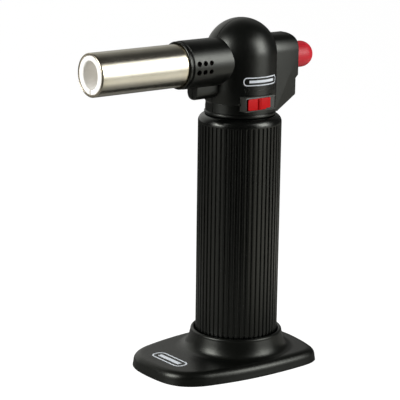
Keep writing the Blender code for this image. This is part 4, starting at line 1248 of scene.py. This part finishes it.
# ------------------------------------------------------------------ inner works keep their CAD shape
INSIDE = {
    "sooted": ["flame_holder", "mixing_tube", "burner_bulkhead"],
    "brass": ["gas_jet", "jet_elbow", "outlet_valve_body", "valve_gland_nut", "flow_spindle",
              "fill_valve_body", "fill_valve_stem"],
    "plain_steel": ["ignition_electrode", "piezo_hammer", "flow_lever"],
    "ceramic": ["electrode_insulator", "piezo_crystal"],
    "rubber": ["valve_gasket", "plug_seal", "fill_valve_seal"],
    "nylon": ["fuel_tank", "tank_end_plug"],
    "felt": ["fuel_wick"],
    "hose": ["gas_hose"],
    "lead": ["ignition_lead"],
    "resin": ["piezo_case", "piezo_plunger"],
}
for key, names in INSIDE.items():
    for name in names:
        shade(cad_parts[name].data, M[key], sharp=40)

# ------------------------------------------------------------------ camera
AZIMUTH = math.radians(-37.649)
ELEVATION = math.radians(13.982)
ROLL = math.radians(0.776)
TARGET = Vector((-16.08, 12.41, 87.99))  # mm
CAMERA_DISTANCE = 933.208  # mm
# level camera frame: BACK points from the target to the camera
BACK = Vector((math.sin(AZIMUTH) * math.cos(ELEVATION),
               -math.cos(AZIMUTH) * math.cos(ELEVATION), math.sin(ELEVATION)))
RIGHT = Vector((math.cos(AZIMUTH), math.sin(AZIMUTH), 0))
CAMERA_ANGLE = math.atan2(BACK.y, BACK.x)  # direction of the camera seen from the object


def build_camera():
    level_up = BACK.cross(RIGHT)
    right = RIGHT * math.cos(ROLL) + level_up * math.sin(ROLL)
    up = level_up * math.cos(ROLL) - RIGHT * math.sin(ROLL)
    eye = TARGET + BACK * CAMERA_DISTANCE
    data = bpy.data.cameras.new("camera")
    data.sensor_width = 36.0
    data.sensor_fit = "HORIZONTAL"
    data.lens = 156.05568
    data.shift_x = -0.00125
    data.shift_y = 0.00125
    data.clip_start = 0.01
    data.clip_end = 50
    camera = bpy.data.objects.new("camera", data)
    scene.collection.objects.link(camera)
    rows = [(right[i], up[i], BACK[i], eye[i] * MM) for i in range(3)]
    camera.matrix_world = Matrix((*rows, (0, 0, 0, 1)))
    scene.camera = camera


build_camera()

# ------------------------------------------------------------------ lights
LIGHT_AIM = Vector((0, 0, 0.09))  # metres


def softbox(name, turn, elevation, distance, size, power):
    """An area light aimed at the object, sizes in metres.

    turn is its angle in degrees from the camera, positive to the right.
    """
    light = bpy.data.lights.new(name, "AREA")
    light.shape = "RECTANGLE"
    light.size, light.size_y = size
    light.energy = power
    obj = bpy.data.objects.new(name, light)
    angle = CAMERA_ANGLE + math.radians(turn)
    level = cosd(elevation)
    toward = Vector((math.cos(angle) * level, math.sin(angle) * level, sind(elevation)))
    spot = toward * distance + LIGHT_AIM
    obj.location = spot
    obj.visible_camera = False
    obj.rotation_euler = (spot - LIGHT_AIM).to_track_quat("Z", "Y").to_euler()
    scene.collection.objects.link(obj)


softbox("soft_left", turn=-64, elevation=22.5, distance=0.95, size=(0.62, 0.98), power=3.1)
softbox("soft_left_core", turn=-63, elevation=24, distance=0.93, size=(0.34, 0.50), power=6.2)
softbox("soft_right", turn=71, elevation=22.5, distance=0.95, size=(0.80, 1.0), power=4.3)
softbox("soft_right_core", turn=70, elevation=24, distance=0.93, size=(0.40, 0.52), power=4.3)


# ------------------------------------------------------------------ floor
def floor_material():
    """Near white to the camera; darker in reflections, with a painted light pool on both sides
    (stronger on the right) that leaves painted shade next to the object, and a painted falloff
    further out.
    """
    mat = Material("floor_pale")
    distance = mat.vector("LENGTH", mat.mm)
    across = mat.vector("DOT_PRODUCT", mat.vector("NORMALIZE", mat.mm), RIGHT)
    # painted light pool: paler floor towards the camera's right, weaker on the left, none in front
    right_side = mat.remap(across, old=(0.30, 0.80), smooth=True)
    left_side = mat.remap(across, old=(-0.45, -0.90), new=(0.0, 0.3), smooth=True)
    side = mat.calc("MAXIMUM", right_side, left_side)
    reach = mat.ramp(mat.remap(distance, old=(0.0, 1000.0)), (  # painted light pool by distance in metres
        (0.08, (0, 0, 0)),
        (0.19, (1, 1, 1)),
        (0.31, (0.9, 0.9, 0.9)),
        (0.46, (0.45, 0.45, 0.45)),
        (1.0, (0.4, 0.4, 0.4)),
    ))
    painted_light_pool = mat.calc("MULTIPLY", reach, side)
    # painted falloff: the floor seen in reflections darkens from 120 to 300 mm out
    painted_falloff = mat.remap(distance, old=(120.0, 300.0), new=(1.0, 0.1), smooth=True)
    patches = mat.remap(mat.noise(scale=0.01), old=(0.3, 0.7))
    mottle = mat.mix(patches, (0.21, 0.21, 0.20), (0.24, 0.24, 0.23))
    mottle = mat.mix(painted_falloff, (0.0, 0.0, 0.0), mottle)
    mat.finish(mat.mix(painted_light_pool, mottle, (0.84, 0.82, 0.75)), rough=0.8)

    emission = mat.node("Emission")
    emission.inputs["Color"].default_value = (1, 1, 1, 1)
    emission.inputs["Strength"].default_value = 0.97
    both = mat.node("AddShader")
    mat.feed(emission.outputs[0], both.inputs[0])
    mat.feed(mat.bsdf.outputs[0], both.inputs[1])
    camera_ray = mat.node("LightPath").outputs["Is Camera Ray"]
    seen = mat.mix_shaders(camera_ray, mat.bsdf.outputs[0], both.outputs[0])
    mat.feed(seen, mat.nodes["Material Output"].inputs["Surface"])
    return mat.mat


def build_floor():
    material = floor_material()
    bm = bmesh.new()
    bmesh.ops.create_grid(bm, x_segments=2, y_segments=2, size=4000)
    shift(bm, (0, 0, -0.15))
    bm.transform(Matrix.Scale(MM, 4))
    mesh = bpy.data.meshes.new("floor")
    bm.to_mesh(mesh)
    bm.free()
    mesh.materials.append(material)
    floor = bpy.data.objects.new("floor", mesh)
    scene.collection.objects.link(floor)


build_floor()


# ------------------------------------------------------------------ world
def build_world():
    """White to the camera; for other rays a soft backdrop with a brighter patch on the left."""
    world = bpy.data.worlds.new("studio")
    scene.world = world
    world.use_nodes = True
    graph = Graph(world.node_tree)
    graph.nodes.clear()
    direction = graph.node("TexCoord").outputs["Generated"]

    sweep_angle = CAMERA_ANGLE + math.radians(-166)
    level = graph.vector("NORMALIZE", graph.vector("MULTIPLY", direction, (1, 1, 0)))
    sweep_axis = (math.cos(sweep_angle), math.sin(sweep_angle), 0)
    behind = graph.vector("DOT_PRODUCT", level, sweep_axis)
    behind = graph.remap(behind, old=(0.50, 0.97), smooth=True)
    levels = (  # height, brightness
        (0.0, 0.03), (0.20, 0.05), (0.48, 0.24), (0.66, 0.20), (0.86, 0.045), (1.0, 0.02),
    )
    stops = [(height, (bright,) * 3) for height, bright in levels]
    by_height = graph.ramp(graph.axis(2, direction), stops)
    sweep = graph.calc("MULTIPLY", behind, by_height)

    patch_angle = CAMERA_ANGLE + math.radians(-146)
    patch_axis = (math.cos(patch_angle) * 0.97, math.sin(patch_angle) * 0.97, 0.24)
    patch = graph.vector("DOT_PRODUCT", direction, patch_axis)
    patch = graph.remap(patch, old=(0.72, 0.98), new=(0.04, 0.65), smooth=True)

    def background(colour, strength):
        node = graph.node("Background")
        node.inputs["Color"].default_value = colour
        graph.feed(strength, node.inputs["Strength"])
        return node.outputs[0]

    room = background((1.0, 1.0, 0.96, 1), graph.calc("ADD", sweep, patch))
    to_camera = background((1, 1, 1, 1), 1.05)
    camera_ray = graph.node("LightPath").outputs["Is Camera Ray"]
    surface = graph.mix_shaders(camera_ray, room, to_camera)
    graph.feed(surface, graph.node("OutputWorld").inputs["Surface"])
    # the linked strength keeps this value underneath
    room.node.inputs["Strength"].default_value = 1.0


build_world()

scene.view_settings.view_transform = "Standard"
scene.view_settings.look = "None"
scene.view_settings.exposure = 0.0
